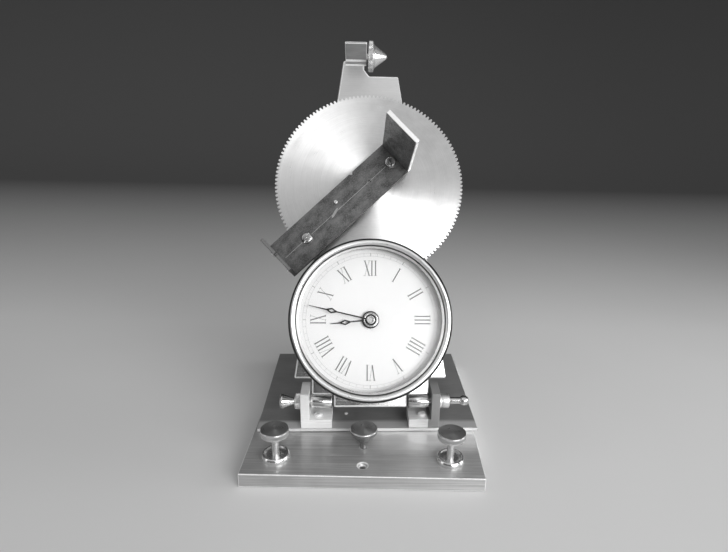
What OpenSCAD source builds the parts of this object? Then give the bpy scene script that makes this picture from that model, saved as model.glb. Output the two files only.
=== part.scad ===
// Sun clock: a drum clock drives a large toothed wheel with a sighting bar (alidade),
// on a plate that tilts to the latitude and turns in azimuth on a levelled base.

/* [Base] */
// Width of the base slab
base_w = 105; // [103:0.5:110]
// Depth of the base slab
base_d = 112; // [110:0.5:118]
// Thickness of the base slab
base_t = 6.35; // [6:0.05:7]
// Drilled hole's distance from the front edge
hole_inset = 7.3; // [6:0.1:8]
// Radius of the drilled hole
hole_r = 1.4; // [1:0.1:1.8]

/* [Thumbscrews] */
// Half the spacing of the two levelling screws
level_x = 38.5; // [37:0.5:41]
// Levelling screws' distance from the front edge
level_inset = 12; // [11:0.5:13]
// Hold-down screw's distance from the front edge
hold_inset = 20.6; // [19:0.1:21]
// Radius of a disc head
head_r = 6.2; // [6:0.1:6.6]
// Thickness of a levelling screw's rim
head_rim = 3; // [2.6:0.1:3.4]
// Height of the cone under that rim
head_cone = 2; // [1.5:0.1:2.5]
// Thickness of the hold-down screw's rim
hold_rim = 2; // [1.6:0.1:2.4]
// Height of the cone under that rim
hold_cone = 6; // [5:0.1:6.2]
// Radius of a thumbscrew's shank
shank_r = 1.6; // [1.4:0.1:1.8]
// Height of a levelling screw above the slab
level_h = 14.7; // [13.5:0.1:16]
// Height of the hold-down screw above the slab
hold_h = 10.1; // [9:0.1:11]
// Radius of the flanged bush under a levelling screw
flange_r = 6.4; // [6:0.1:6.8]
// Height of that flange
flange_h = 2.6; // [2:0.1:3]

/* [Turntable] */
// Width of the turntable plate
table_w = 105; // [100:0.5:108]
// Thickness of the turntable plate
table_t = 1.5; // [1.2:0.1:2]
// Gap between the slab and the turntable
table_gap = 0.4; // [0.3:0.05:0.6]
// Angle at which the turntable stands, seen from above
azimuth_set = 2.5; // [-5:0.5:5]
// Radius of the vertical pivot
pivot_r = 3; // [2.5:0.1:4]

/* [Hinge] */
// Hinge axis's distance from the slab's front edge
hinge_inset = 39; // [38:0.5:41]
// Height of the hinge axis above the turntable
hinge_h = 11; // [10.5:0.1:12]
// Lean of the carrier plate from upright
lean = 25; // [10:1:40]
// Depth of a bracket, front to back
bracket_d = 12.4; // [11:0.1:13]
// Height of a bracket's upright
bracket_h = 18; // [16:0.5:18]
// Thickness of a bracket's upright
upright_t = 4; // [3.5:0.1:4.5]
// Thickness of a bracket's foot
foot_t = 4.5; // [4:0.1:5]
// Middle of the hinge to the right of the wheel's axis line
hinge_x = 1; // [0:0.1:2]
// Inner face of an upright from the hinge's middle
upright_x = 28.9; // [28.6:0.1:30]
// Inner end of a foot and of a knuckle from the hinge's middle
foot_x = 18.3; // [17:0.1:19.5]
// Radius of the hinge knuckles
barrel_r = 3.4; // [3:0.1:3.6]
// Radius of the pivot screws
pin_r = 1.7; // [1.5:0.1:1.9]

/* [Carrier plate] */
// Thickness of the carrier plate
plate_t = 3; // [2.5:0.1:3.2]
// Height of the plate's lower corners above the hinge
plate_low = 10.8; // [10.5:0.1:12]
// Half width at the lower corners
plate_low_w = 36.6; // [35:0.1:38]
// Reach of the plate's tongue below the hinge axis
tongue_l = 2.8; // [2:0.1:3.2]
// Height of the plate's top edge above the hinge
plate_top = 172.4; // [171:0.1:174]
// Half width of the taper at the top edge
plate_top_w = 13.5; // [13:0.1:14]
// Height of the cut-down right shoulder above the hinge
shoulder = 164.2; // [162:0.1:165]
// Forward reach of the top lug from the plate's middle
lug_reach = 18; // [15:0.5:20]
// Height of the top lug at the plate
lug_h = 5.2; // [5:0.1:6]
// Height of the top lug's front lip
lug_lip = 1; // [0.8:0.1:2]
// Radius of the disc of the top thumbscrew
top_disc_r = 7.6; // [7:0.1:8]
// Length of the cone of the top thumbscrew
top_cone = 6.9; // [6:0.1:8]

/* [Day wheel] */
// Teeth of the day wheel
wheel_teeth = 144; // [144]
// Module of the day wheel
wheel_module = 0.635; // [0.63:0.005:0.64]
// Height of the day wheel's axis above the hinge
wheel_u = 105; // [104.5:0.1:105.5]
// Thickness of the day wheel
wheel_t = 2; // [1.8:0.1:2.4]

/* [Alidade] */
// Direction of the alidade's head, from level
alidade_angle = 43.7; // [40:0.1:48]
// Width of the bar and its vanes
bar_w = 18.2; // [17:0.1:19]
// Thickness of the bar
bar_t = 2.5; // [2:0.1:3]
// Space between the wheel and the bar
bar_gap = 3.5; // [3.2:0.1:4]
// Bar's reach from the wheel's axis to the head vane
head_reach = 17; // [16.5:0.1:18]
// Bar's reach from the wheel's axis to the tail vane
tail_reach = 56; // [54:0.1:56.5]
// Height of the head vane above the bar
head_vane_h = 38.3; // [34:0.1:42]
// Thickness of the head vane
head_vane_t = 2; // [1.6:0.1:2.4]
// Height of the tail vane above the bar
tail_vane_h = 20.6; // [18:0.1:24]
// Thickness of the tail vane
tail_vane_t = 1.5; // [1.2:0.1:1.8]

/* [Clock] */
// Radius of the bezel
bezel_r = 33.8; // [33.6:0.1:34.2]
// Radius of the drum case
case_r = 32.2; // [32.1:0.05:32.4]
// Length of the drum case
case_l = 27; // [27:0.1:27.5]
// Wall of the drum case
case_wall = 1; // [0.8:0.1:1]
// Radius of the dial
dial_r = 30.2; // [29.8:0.1:30.2]
// Minute shown by the minute hand
minute_set = 47.15; // [0:0.05:59.95]
// Hour angle of the hour hand in degrees
hour_set = 264; // [0:1:359]
// Length of the minute hand
minute_l = 26.4; // [24:0.1:27]
// Length of the hour hand
hour_l = 16.8; // [15:0.1:18]

/* [Hidden] */
$fn = 64;

// Fits and slack
fit = 0.05;
mesh_slack = 0.04;
air = 0.1;
eps = 0.01;
edge = 0.4;

// Levels and places on the base
level_y = -base_d / 2 + level_inset;
hold_y = -base_d / 2 + hold_inset;
hole_y = -base_d / 2 + hole_inset;
hinge_y = -base_d / 2 + hinge_inset;
tip_gap = 0.3;
sink_r = hole_r + 0.9;
sink_depth = 1;
bush_r = 3;
bush_dish = 0.9;
bush_land = 0.7;
pivot_y = base_d / 7;
pivot_head_r = 6;
pivot_head_t = 1.6;
table_top = base_t + table_gap + table_t;
table_front = hinge_y - bracket_d / 2 - tip_gap;
hinge_z = table_top + hinge_h;

// Brackets and pivots
foot_screw_x = 24.9;
foot_screw_y = -1.8;
foot_screw_r = 1;
foot_head_r = 2;
foot_head_t = 1.2;
barrel_slack = 0.5;
barrel_half = upright_x - barrel_slack;
tongue_gap = 0.8;
tongue_x = foot_x - tongue_gap;
pin_depth = 5.5;
nut_x = upright_x + upright_t;
left_nut_t = 3.1;
left_nut_r = 3.75;
left_knob_gap = 0.9;
left_knob_x = nut_x + left_nut_t + left_knob_gap;
left_knob_l = 6.1;
left_knob_r = 3.65;
knob_dome = 0.6;
right_nut_t = 5.2;
right_nut_r = 3.55;
ball_x = 45.2;
ball_r = 2.6;

// Carrier plate outline
tab_x = barrel_half - tip_gap;
arm_x = -2.7;
arm_step = 3.5;
shoulder_x = -0.2;
lug_in = -1.6;
lug_out = -12.4;
lug_flat = 4.5;
lug_bore_u = plate_top + lug_h / 2;
lug_bore_n = 1;
lug_screw_r = 1.5;
top_rim_x = -0.8;
top_rim = 2.9;
top_cone_r = 6;
top_tip_r = 1.2;

// Day wheel and its stud
wheel_back = 5;
wheel_front = wheel_back + wheel_t;
wheel_add = 0.7;
wheel_ded = 1.2;
hub_r = 7;
hub_back = 2;
stud_r = 3.2;
stud_root_r = 3;
stud_head_r = 4.5;
stud_head_t = 2;
stud_washer_r = 5.5;
stud_washer_t = 0.9;
stud_screw_r = 1;
stud_screw_head_r = 3;
stud_screw_head_t = 1.5;

// Alidade
bar_low = wheel_front + bar_gap;
bar_top = bar_low + bar_t;
bar_screw_s = [13.6, -40.8];
bar_screw_r = 1.2;
bar_head_r = 2.6;
bar_head_t = 1.5;
spacer_r = 4;
bar_pin_s = -19;
bar_pin_w = 3.6;
bar_pin_r = 0.5;
bar_pin_head_r = 0.9;
bar_pin_head_t = 0.7;
bar_dot_r = 0.6;
bar_notch_s = -4;
bar_notch = 1.6;
vane_screw_w = 5.5;
vane_screw_r = 0.7;
vane_screw_l = 4;
vane_head_r = 1.3;
vane_head_t = 0.8;
sight_w = 1.2;
sight_h = 2;

// Take-off gearing between the clock and the day wheel
takeoff_leaves = 12;
takeoff_teeth = 48;
drive_teeth = 24;
drive_module = 0.5;
takeoff_u = wheel_u - wheel_module * (wheel_teeth + takeoff_leaves) / 2 - mesh_slack;
clock_u = takeoff_u - drive_module * (takeoff_teeth + drive_teeth) / 2 - mesh_slack;
takeoff_r = 1;
takeoff_pivot_r = 0.9;
pinion_back = 4.5;
pinion_front = 7.5;
drive_n = 12.9;
drive_t = 1.4;
pinion_add = 0.9;
pinion_ded = 1;

// Layers of the clock, as distances in front of the plate's middle
case_n = 11;
back_t = 1.2;
back_r = case_r - case_wall - fit;
rear_plate_n = 15;
train_plate_t = 1.8;
train_plate_r = 28;
front_plate_n = 31.2;
front_plate_top = front_plate_n + train_plate_t;
train_low = rear_plate_n + train_plate_t;
dial_n = 38.2;
dial_t = 0.8;
hand_t = 0.4;
hour_hand_n = 40.2;
minute_hand_n = 41.2;
glass_n = 42.9;
glass_t = 1;
glass_r = dial_r + air;
bezel_n = 37;
bead_r = 1.55;
bezel_seat = 1.2;
bezel_lip = 0.6;

// Pillars of the drum and of the movement
pillar_reach = 22;
pillar_angles = [30, 150, 270];
pillar_r = 3;
pillar_step = 0.5;
pillar_screw_r = 1.2;
pillar_head_r = 2.5;
pillar_head_t = 1.5;
post_reach = 25.5;
post_angles = [-10, 100, 170, 280];
post_r = 2;
post_screw_r = 0.9;
post_head_r = 1.8;
post_head_t = 1;
post_screw_l = 5;
dial_foot_x = 20;
dial_foot_r = 0.7;

// Mainspring barrel
barrel_teeth = 60;
center_leaves = 10;
train_module = 0.42;
barrel_angle = 225;
barrel_reach = train_module * (barrel_teeth + center_leaves) / 2 + mesh_slack;
great_n = 17.4;
great_t = 1.5;
shell_r = 11.6;
shell_wall = 0.7;
shell_top = 27.4;
cover_t = 1;
spring_turns = 6;
spring_band = 0.35;
spring_pitch = 0.75;
winding_r = 1.8;
winding_pivot_r = 1;
winding_pivot_n = 29.5;
winding_back = -9;
key_hub_r = 3.2;
key_front = -4;
key_wing_r = 9;
key_wing_t = 1.8;
key_wing_l = 7;
key_back = -13;
winding_hole_r = 2.4;

// Centre arbor and motion work
center_r = 0.9;
center_front = 42.4;
center_back = 12.7;
center_pinion_n = 17.2;
center_pinion_t = 2;
center_teeth = 64;
center_module = 0.35;
center_wheel_n = 28.3;
center_wheel_t = 1;
cannon_leaves = 12;
minute_teeth = 36;
cannon_module = 0.3;
minute_leaves = 10;
hour_teeth = 40;
motion_reach = cannon_module * (cannon_leaves + minute_teeth) / 2 + mesh_slack;
hour_module = 2 * (motion_reach - mesh_slack) / (minute_leaves + hour_teeth);
motion_angle = 60;
motion_n = 33.6;
motion_t = 1.2;
hour_wheel_n = 35.4;
minute_pinion_top = 37.2;
minute_stud_r = 0.7;
cannon_r = 1.3;
pipe_r = 1.9;
dial_hole_r = 2.4;
small_add = 0.6;
small_ded = 1.15;
hand_nut_r = 1.7;
hour_boss_r = 3.6;
minute_boss_r = 2.2;
hand_root = 0.5;
pear_reach = 2.2;
pear_rate = 0.63;

// Escapement platform and balance
platform_x = [-10, 12];
platform_y = [11, 22];
platform_top = 20;
cock_post_x = 8;
cock_low = 26;
cock_top = 27;
cock_w = 4;
balance_x = -2;
balance_y = 16.5;
balance_r = 6.2;
balance_rim = 1;
balance_n = 23;
balance_t = 0.8;
staff_r = 0.4;

// Shared frames: the turntable's, the plate's, and those of the axes on the plate.
// On the plate, x runs right, y up the plate and z out of it towards the viewer.
module azimuth() {
  translate([0, pivot_y, 0]) rotate([0, 0, azimuth_set]) translate([0, -pivot_y, 0]) children();
}
module on_table() {
  azimuth() translate([hinge_x, hinge_y, table_top]) children();
}
module on_hinge(side) {
  on_table() translate([0, 0, hinge_h]) rotate([0, 90 * side, 0]) children();
}
module on_plate() {
  azimuth() translate([0, hinge_y, hinge_z]) rotate([90 - lean, 0, 0]) children();
}
module at_wheel() {
  on_plate() translate([0, wheel_u, 0]) children();
}
module along_bar() {
  at_wheel() rotate([0, 0, alidade_angle]) children();
}
module at_clock() {
  on_plate() translate([0, clock_u, 0]) children();
}
module at_takeoff() {
  on_plate() translate([0, takeoff_u, 0]) children();
}
module at_barrel() {
  at_clock() rotate([0, 0, barrel_angle]) translate([barrel_reach, 0, 0]) children();
}
module at_minute() {
  at_clock() rotate([0, 0, motion_angle]) translate([motion_reach, 0, 0]) children();
}
module around(reach, angles) {
  for (a = angles) rotate([0, 0, a]) translate([reach, 0, 0]) children();
}

// A solid from one level to another, and a ring
module rod(r, low, high) {
  translate([0, 0, low]) cylinder(r = r, h = high - low);
}
module ring(r, bore, low, high) {
  difference() {
    rod(r, low, high);
    rod(bore, low - 1, high + 1);
  }
}

// Involute tooth: half angle of a tooth at radius r, and the outline of a whole gear
pressure = 20;
function inv(a) = tan(a) * 180 / PI - a;
function half_angle(r, pitch_r, teeth, thin) =
  let (base_r = pitch_r * cos(pressure), a = r > base_r ? acos(base_r / r) : 0)
  90 / teeth - thin + inv(pressure) - inv(a);
function gear_outline(teeth, mod, add, ded, steps) =
  let (pitch_r = teeth * mod / 2, low = pitch_r - ded * mod, high = pitch_r + add * mod)
  let (thin = 3 / teeth)
  [for (i = [0 : teeth - 1], k = [0 : 2 * steps + 1])
    let (rising = k <= steps, j = rising ? k : 2 * steps + 1 - k)
    let (r = low + (high - low) * j / steps, half = half_angle(r, pitch_r, teeth, thin))
    let (a = 360 * i / teeth + (rising ? -half : half))
    [r * cos(a), r * sin(a)]];
module gear(teeth, mod, add, ded, low, high, turn, steps = 4) {
  translate([0, 0, low]) rotate([0, 0, turn]) linear_extrude(height = high - low)
    polygon(gear_outline(teeth, mod, add, ded, steps));
}
// Turn that puts a gap towards another axis, seen at the given direction
function gap_turn(direction, teeth) = direction + 180 / teeth;

// Disc head with a coned underside and a shank, its top at z = 0
module thumbscrew(length, rim, cone) {
  rotate_extrude() polygon([
    [0, 0], [head_r - edge, 0], [head_r, -edge], [head_r, -rim + edge],
    [head_r - edge, -rim], [shank_r, -rim - cone], [shank_r, -length], [0, -length]
  ]);
}

// Base
module base_slab() {
  color("silver") difference() {
    translate([-base_w / 2, -base_d / 2, 0]) cube([base_w, base_d, base_t]);
    for (side = [-1, 1]) translate([side * level_x, level_y, 0]) rod(bush_r, -1, base_t + 1);
    translate([0, hold_y, 0]) rod(shank_r + fit, -1, base_t + 1);
    translate([0, hole_y, 0]) {
      rod(hole_r, -1, base_t + 1);
      translate([0, 0, base_t - sink_depth]) cylinder(r1 = hole_r, r2 = sink_r, h = sink_depth);
    }
    translate([0, pivot_y, 0]) rod(pivot_r, tip_gap, base_t + 1);
  }
}
module level_bushes() {
  bore = shank_r + fit;
  color("gainsboro") for (side = [-1, 1]) translate([side * level_x, level_y, 0]) rotate_extrude()
    polygon([
      [bore, 0], [bush_r, 0], [bush_r, base_t], [flange_r, base_t], [flange_r, base_t + flange_h],
      [flange_r - bush_land, base_t + flange_h], [bush_r, base_t + flange_h - bush_dish],
      [bore, base_t + flange_h - bush_dish]
    ]);
}
module level_screw(side) {
  color("gainsboro") translate([side * level_x, level_y, base_t + level_h])
    thumbscrew(base_t + level_h - tip_gap, head_rim, head_cone);
}
module level_screw_left() level_screw(-1);
module level_screw_right() level_screw(1);
module hold_down_screw() {
  color("gainsboro") translate([0, hold_y, base_t + hold_h])
    thumbscrew(base_t + hold_h - tip_gap, hold_rim, hold_cone);
}

// Turntable
module turntable_pivot() {
  color("gray") translate([0, pivot_y, 0]) {
    rod(pivot_r, tip_gap, table_top + air + eps);
    rod(pivot_head_r, table_top + air, table_top + air + pivot_head_t);
  }
}
module thrust_washer() {
  color("gray") translate([0, pivot_y, 0])
    ring(1.5 * pivot_head_r, pivot_r, base_t, base_t + table_gap - fit);
}
module turntable_plate() {
  depth = base_d / 2 - table_front;
  color("dimgray") azimuth() difference() {
    translate([-table_w / 2, table_front, table_top - table_t]) cube([table_w, depth, table_t]);
    translate([0, pivot_y, 0]) rod(pivot_r + fit, 0, table_top + 1);
    for (side = [-1, 1])
      translate([hinge_x + side * foot_screw_x, hinge_y + foot_screw_y, 0])
        rod(foot_screw_r, 0, table_top + 1);
  }
}
module bracket() {
  difference() {
    union() {
      translate([upright_x, -bracket_d / 2, 0]) cube([upright_t, bracket_d, bracket_h]);
      translate([foot_x, -bracket_d / 2, 0]) cube([upright_x - foot_x + eps, bracket_d, foot_t]);
    }
    translate([0, 0, hinge_h]) rotate([0, 90, 0]) rod(pin_r + fit, foot_x, nut_x + 1);
    translate([foot_screw_x, foot_screw_y, 0]) rod(foot_screw_r, -1, foot_t + 1);
  }
}
module bracket_left() {
  color("silver") on_table() mirror([1, 0, 0]) bracket();
}
module bracket_right() {
  color("silver") on_table() bracket();
}
module bracket_screws() {
  color("gainsboro") on_table() for (side = [-1, 1])
    translate([side * foot_screw_x, foot_screw_y, 0]) {
      rod(foot_screw_r, -table_t, foot_t + eps);
      rod(foot_head_r, foot_t, foot_t + foot_head_t);
    }
}

// Hinge: pivot screws with their nuts, and the barrel
module pivot_screw_left() {
  far = left_knob_x + left_knob_l;
  color("gainsboro") on_hinge(-1) rotate_extrude() polygon([
    [0, barrel_half - pin_depth], [pin_r, barrel_half - pin_depth], [pin_r, left_knob_x],
    [left_knob_r, far - 2 * knob_dome], [left_knob_r, far - knob_dome], [left_knob_r - knob_dome, far],
    [0, far]
  ]);
}
module pivot_screw_right() {
  color("gainsboro") on_hinge(1) {
    rod(pin_r, barrel_half - pin_depth, ball_x);
    translate([0, 0, ball_x]) sphere(r = ball_r);
  }
}
module lock_nut_left() {
  color("gainsboro") on_hinge(-1) ring(left_nut_r, pin_r + fit, nut_x, nut_x + left_nut_t);
}
module collar_nut_right() {
  color("gainsboro") on_hinge(1) ring(right_nut_r, pin_r + fit, nut_x, nut_x + right_nut_t);
}
module hinge_barrel() {
  color("gainsboro") for (side = [-1, 1]) on_hinge(side) difference() {
    rod(barrel_r, foot_x, barrel_half);
    rod(pin_r + fit, barrel_half - pin_depth - tip_gap, barrel_half + 1);
  }
}

// Carrier plate with its tongue between the knuckles, taper, cut-down shoulder and arm
function taper_x(u) =
  let (low = hinge_x + plate_low_w)
  low + (plate_top_w - low) * (u - plate_low) / (plate_top - plate_low);
module carrier_plate() {
  color("silver") on_plate() difference() {
    linear_extrude(height = plate_t, center = true) polygon([
      [hinge_x - tab_x, 0], [hinge_x - tongue_x, 0], [hinge_x - tongue_x, -tongue_l],
      [hinge_x + tongue_x, -tongue_l], [hinge_x + tongue_x, 0], [hinge_x + tab_x, 0],
      [hinge_x + tab_x, plate_low], [hinge_x + plate_low_w, plate_low],
      [taper_x(shoulder), shoulder], [shoulder_x, shoulder], [arm_x, shoulder + arm_step],
      [arm_x, plate_top], [-plate_top_w, plate_top], [hinge_x - plate_low_w, plate_low],
      [hinge_x - tab_x, plate_low]
    ]);
    for (side = [-1, 1]) translate([hinge_x, 0, 0]) rotate([0, 90 * side, 0])
      rod(barrel_r, tongue_x, plate_low_w);
    translate([0, wheel_u, 0]) rod(stud_root_r, -plate_t, plate_t);
    translate([0, takeoff_u, 0]) rod(takeoff_r + fit, -plate_t, plate_t);
    translate([0, clock_u, 0]) {
      around(pillar_reach, pillar_angles) rod(pillar_screw_r, -plate_t, plate_t);
      around(barrel_reach, [barrel_angle]) rod(winding_hole_r, -plate_t, plate_t);
    }
  }
}
// Lug over the plate's top edge: full height at the plate, sloping to a thin lip in front
module top_lug() {
  half = plate_t / 2;
  color("gray") on_plate() difference() {
    translate([lug_out, plate_top, 0]) rotate([90, 0, 90]) linear_extrude(height = lug_in - lug_out)
      polygon([[0, -half], [lug_h, -half], [lug_h, lug_flat], [lug_lip, lug_reach], [0, lug_reach]]);
    translate([0, lug_bore_u, lug_bore_n]) rotate([0, 90, 0]) rod(lug_screw_r + fit, lug_out - 1, 0);
  }
}
module top_thumbscrew() {
  disc_end = top_rim_x + top_rim;
  color("gainsboro") on_plate() translate([0, lug_bore_u, lug_bore_n]) rotate([0, 90, 0])
    rotate_extrude() polygon([
      [0, lug_out + 1], [lug_screw_r, lug_out + 1], [lug_screw_r, top_rim_x],
      [top_disc_r - edge, top_rim_x], [top_disc_r, top_rim_x + edge], [top_disc_r, disc_end - edge],
      [top_disc_r - edge, disc_end], [top_cone_r, disc_end], [top_tip_r, disc_end + top_cone],
      [0, disc_end + top_cone]
    ]);
}

// Day wheel on its stud
module wheel_stud() {
  front = wheel_front + air;
  half = plate_t / 2;
  color("gray") at_wheel() rotate_extrude() polygon([
    [0, -half - stud_head_t], [stud_head_r, -half - stud_head_t], [stud_head_r, -half],
    [stud_root_r, -half], [stud_root_r, half], [stud_r, half], [stud_r, front],
    [stud_screw_r, front], [stud_screw_r, half], [0, half]
  ]);
}
module stud_washer() {
  low = wheel_front + air;
  color("gray") at_wheel() ring(stud_washer_r, stud_screw_r, low, low + stud_washer_t);
}
module stud_screw() {
  low = wheel_front + air + stud_washer_t;
  color("gray") at_wheel() {
    rod(stud_screw_r, plate_t, low + eps);
    rod(stud_screw_head_r, low, low + stud_screw_head_t);
  }
}
module day_wheel() {
  color("gainsboro") difference() {
    at_wheel() union() {
      gear(wheel_teeth, wheel_module, wheel_add, wheel_ded, wheel_back, wheel_front, -90, 2);
      rod(hub_r, hub_back, wheel_back + eps);
    }
    at_wheel() rod(stud_r + fit, hub_back - 1, wheel_front + 1);
    along_bar() for (s = bar_screw_s) translate([s, 0, 0]) rod(bar_screw_r, hub_back, wheel_front + 1);
  }
}

// Alidade: bar on spacers, with a vane screwed to each end
module alidade_spacers() {
  color("gray") along_bar() for (s = bar_screw_s)
    translate([s, 0, 0]) ring(spacer_r, bar_screw_r, wheel_front, bar_low);
}
module alidade_bar() {
  color("dimgray") along_bar() difference() {
    translate([-tail_reach, -bar_w / 2, bar_low]) cube([tail_reach + head_reach, bar_w, bar_t]);
    for (s = bar_screw_s) translate([s, 0, 0]) rod(bar_screw_r, bar_low - 1, bar_top + 1);
    translate([bar_pin_s, bar_pin_w, 0]) rod(bar_pin_r, bar_low - 1, bar_top + 1);
    rod(bar_dot_r, bar_low - 1, bar_top + 1);
    translate([bar_notch_s, bar_w / 2, bar_low + bar_t / 2]) rotate([0, 0, 45])
      cube([bar_notch, bar_notch, 2 * bar_t], center = true);
    vane_screw_axes() rod(vane_screw_r, -vane_screw_l, 1);
  }
}
module alidade_screws() {
  color("gainsboro") along_bar() for (s = bar_screw_s) translate([s, 0, 0]) {
    rod(bar_screw_r, wheel_back, bar_top + eps);
    rod(bar_head_r, bar_top, bar_top + bar_head_t);
  }
}
module alidade_pin() {
  color("gainsboro") along_bar() translate([bar_pin_s, bar_pin_w, 0]) {
    rod(bar_pin_r, bar_low, bar_top + eps);
    rod(bar_pin_head_r, bar_top, bar_top + bar_pin_head_t);
  }
}
// Axes of the screws in the bar's ends, pointing out of the bar
module vane_screw_axes() {
  for (w = [-1, 1]) translate([0, w * vane_screw_w, bar_low + bar_t / 2]) {
    translate([head_reach, 0, 0]) rotate([0, 90, 0]) children();
    translate([-tail_reach, 0, 0]) rotate([0, -90, 0]) children();
  }
}
module head_vane() {
  color("gray") along_bar() difference() {
    translate([head_reach, -bar_w / 2, bar_low]) cube([head_vane_t, bar_w, bar_t + head_vane_h]);
    vane_screw_axes() rod(vane_screw_r, -1, head_vane_t + 1);
  }
}
module tail_vane() {
  top = bar_top + tail_vane_h;
  color("gray") along_bar() difference() {
    translate([-tail_reach - tail_vane_t, -bar_w / 2, bar_low])
      cube([tail_vane_t, bar_w, bar_t + tail_vane_h]);
    translate([-tail_reach - 2 * tail_vane_t, -sight_w / 2, top - sight_h])
      cube([3 * tail_vane_t, sight_w, sight_h + 1]);
    vane_screw_axes() rod(vane_screw_r, -1, tail_vane_t + 1);
  }
}
module vane_screws() {
  color("gainsboro") along_bar() for (w = [-1, 1])
    translate([0, w * vane_screw_w, bar_low + bar_t / 2]) {
      translate([head_reach, 0, 0]) rotate([0, 90, 0]) vane_screw(head_vane_t);
      translate([-tail_reach, 0, 0]) rotate([0, -90, 0]) vane_screw(tail_vane_t);
    }
}
module vane_screw(grip) {
  rod(vane_screw_r, -vane_screw_l, grip + eps);
  rod(vane_head_r, grip, grip + vane_head_t);
}

// Drum: pillars, case, back, bezel, glass and dial
module drum_pillars() {
  color("gray") at_clock() around(pillar_reach, pillar_angles)
    ring(pillar_r, pillar_screw_r, plate_t / 2, case_n);
}
module drum_screws() {
  color("gainsboro") at_clock() around(pillar_reach, pillar_angles) {
    rod(pillar_screw_r, -plate_t / 2 - eps, train_low);
    rod(pillar_head_r, -plate_t / 2 - pillar_head_t, -plate_t / 2);
  }
}
module drum_case() {
  color("silver") at_clock() ring(case_r, case_r - case_wall, case_n, case_n + case_l);
}
module case_back() {
  color("silver") at_clock() difference() {
    rod(back_r, case_n, case_n + back_t);
    around(pillar_reach, pillar_angles) rod(pillar_screw_r, case_n - 1, case_n + back_t + 1);
    around(barrel_reach, [barrel_angle]) rod(winding_hole_r, case_n - 1, case_n + back_t + 1);
    translate([0, takeoff_u - clock_u, 0]) rod(1.6 * takeoff_r, case_n - 1, case_n + back_t + 1);
  }
}
module bezel() {
  bead_n = glass_n + glass_t;
  inner = dial_r - bezel_lip - air;
  color("gainsboro") at_clock() difference() {
    union() {
      rotate_extrude() translate([bezel_r - bead_r, bead_n]) circle(r = bead_r);
      rotate_extrude() polygon([
        [case_r + fit, bezel_n], [bezel_r, bezel_n], [bezel_r, bead_n],
        [bezel_r - bead_r, bead_n + bezel_lip], [inner, bead_n + bezel_lip / 2], [inner, bead_n],
        [glass_r + fit, bead_n], [glass_r + fit, dial_n + bezel_seat], [case_r + fit, dial_n + bezel_seat]
      ]);
    }
    rod(glass_r + fit, bezel_n, bead_n);
  }
}
module glass() {
  color("white", 0.3) at_clock() rod(glass_r, glass_n, glass_n + glass_t);
}
module dial() {
  color("white") at_clock() {
    ring(dial_r, dial_hole_r, dial_n, dial_n + dial_t);
    for (side = [-1, 1]) translate([side * dial_foot_x, 0, 0])
      rod(dial_foot_r, front_plate_top, dial_n + eps);
  }
}

// Hands: a tapered stem with an open lozenge, pointing along x
module hand(length, boss, bore, low) {
  pear = pear_rate * length;
  swell = 2.6 * hand_root;
  eye = pear_reach / 2;
  difference() {
    translate([0, 0, low]) linear_extrude(height = hand_t) polygon([
      [0, hand_root], [pear - pear_reach, 0.8 * hand_root], [pear, swell],
      [pear + pear_reach, 0.7 * hand_root], [length, 0], [pear + pear_reach, -0.7 * hand_root],
      [pear, -swell], [pear - pear_reach, -0.8 * hand_root], [0, -hand_root]
    ]);
    translate([0, 0, low - 1]) linear_extrude(height = 2)
      polygon([[pear - eye, 0], [pear, swell / 2], [pear + eye, 0], [pear, -swell / 2]]);
    rod(bore, low - 1, low + 1);
  }
  ring(boss, bore, low, low + hand_t);
}
module hour_hand() {
  color("black") at_clock() rotate([0, 0, 90 - hour_set])
    hand(hour_l, hour_boss_r, pipe_r, hour_hand_n);
}
module minute_hand() {
  color("black") at_clock() rotate([0, 0, 90 - 6 * minute_set])
    hand(minute_l, minute_boss_r, cannon_r, minute_hand_n);
}
module hand_nut() {
  low = minute_hand_n + hand_t;
  color("gainsboro") at_clock() ring(hand_nut_r, center_r, low, center_front);
}

// Movement plates, posts and screws
module movement_spacers() {
  color("gray") at_clock() around(pillar_reach, pillar_angles)
    ring(pillar_r - pillar_step, pillar_screw_r, case_n + back_t, rear_plate_n);
}
module train_plate(low) {
  high = low + train_plate_t + 1;
  difference() {
    rod(train_plate_r, low, low + train_plate_t);
    rod(center_r + fit, low - 1, high);
    children();
  }
}
module rear_train_plate() {
  color("gray") at_clock() train_plate(rear_plate_n) {
    around(pillar_reach, pillar_angles) rod(pillar_screw_r, case_n, train_low + 1);
    around(barrel_reach, [barrel_angle]) rod(winding_r + fit, case_n, train_low + 1);
    translate([0, takeoff_u - clock_u, 0]) rod(takeoff_pivot_r + fit, case_n, train_low + 1);
  }
}
// The front plate has the minute wheel's stud riveted in it
module front_train_plate() {
  color("gray") at_clock() {
    train_plate(front_plate_n) {
      around(post_reach, post_angles) rod(post_screw_r, front_plate_n - 1, front_plate_top + 1);
      around(barrel_reach, [barrel_angle])
        rod(winding_pivot_r + fit, front_plate_n - 1, front_plate_top + 1);
    }
    around(motion_reach, [motion_angle])
      rod(minute_stud_r, front_plate_top - eps, minute_pinion_top + minute_stud_r);
  }
}
module train_posts() {
  color("gray") at_clock() around(post_reach, post_angles) difference() {
    rod(post_r, train_low, front_plate_n);
    rod(post_screw_r, front_plate_n - post_screw_l, front_plate_n + 1);
  }
}
module train_screws() {
  color("gainsboro") at_clock() around(post_reach, post_angles) {
    rod(post_screw_r, front_plate_n - post_screw_l, front_plate_top + eps);
    rod(post_head_r, front_plate_top, front_plate_top + post_head_t);
  }
}

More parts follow.
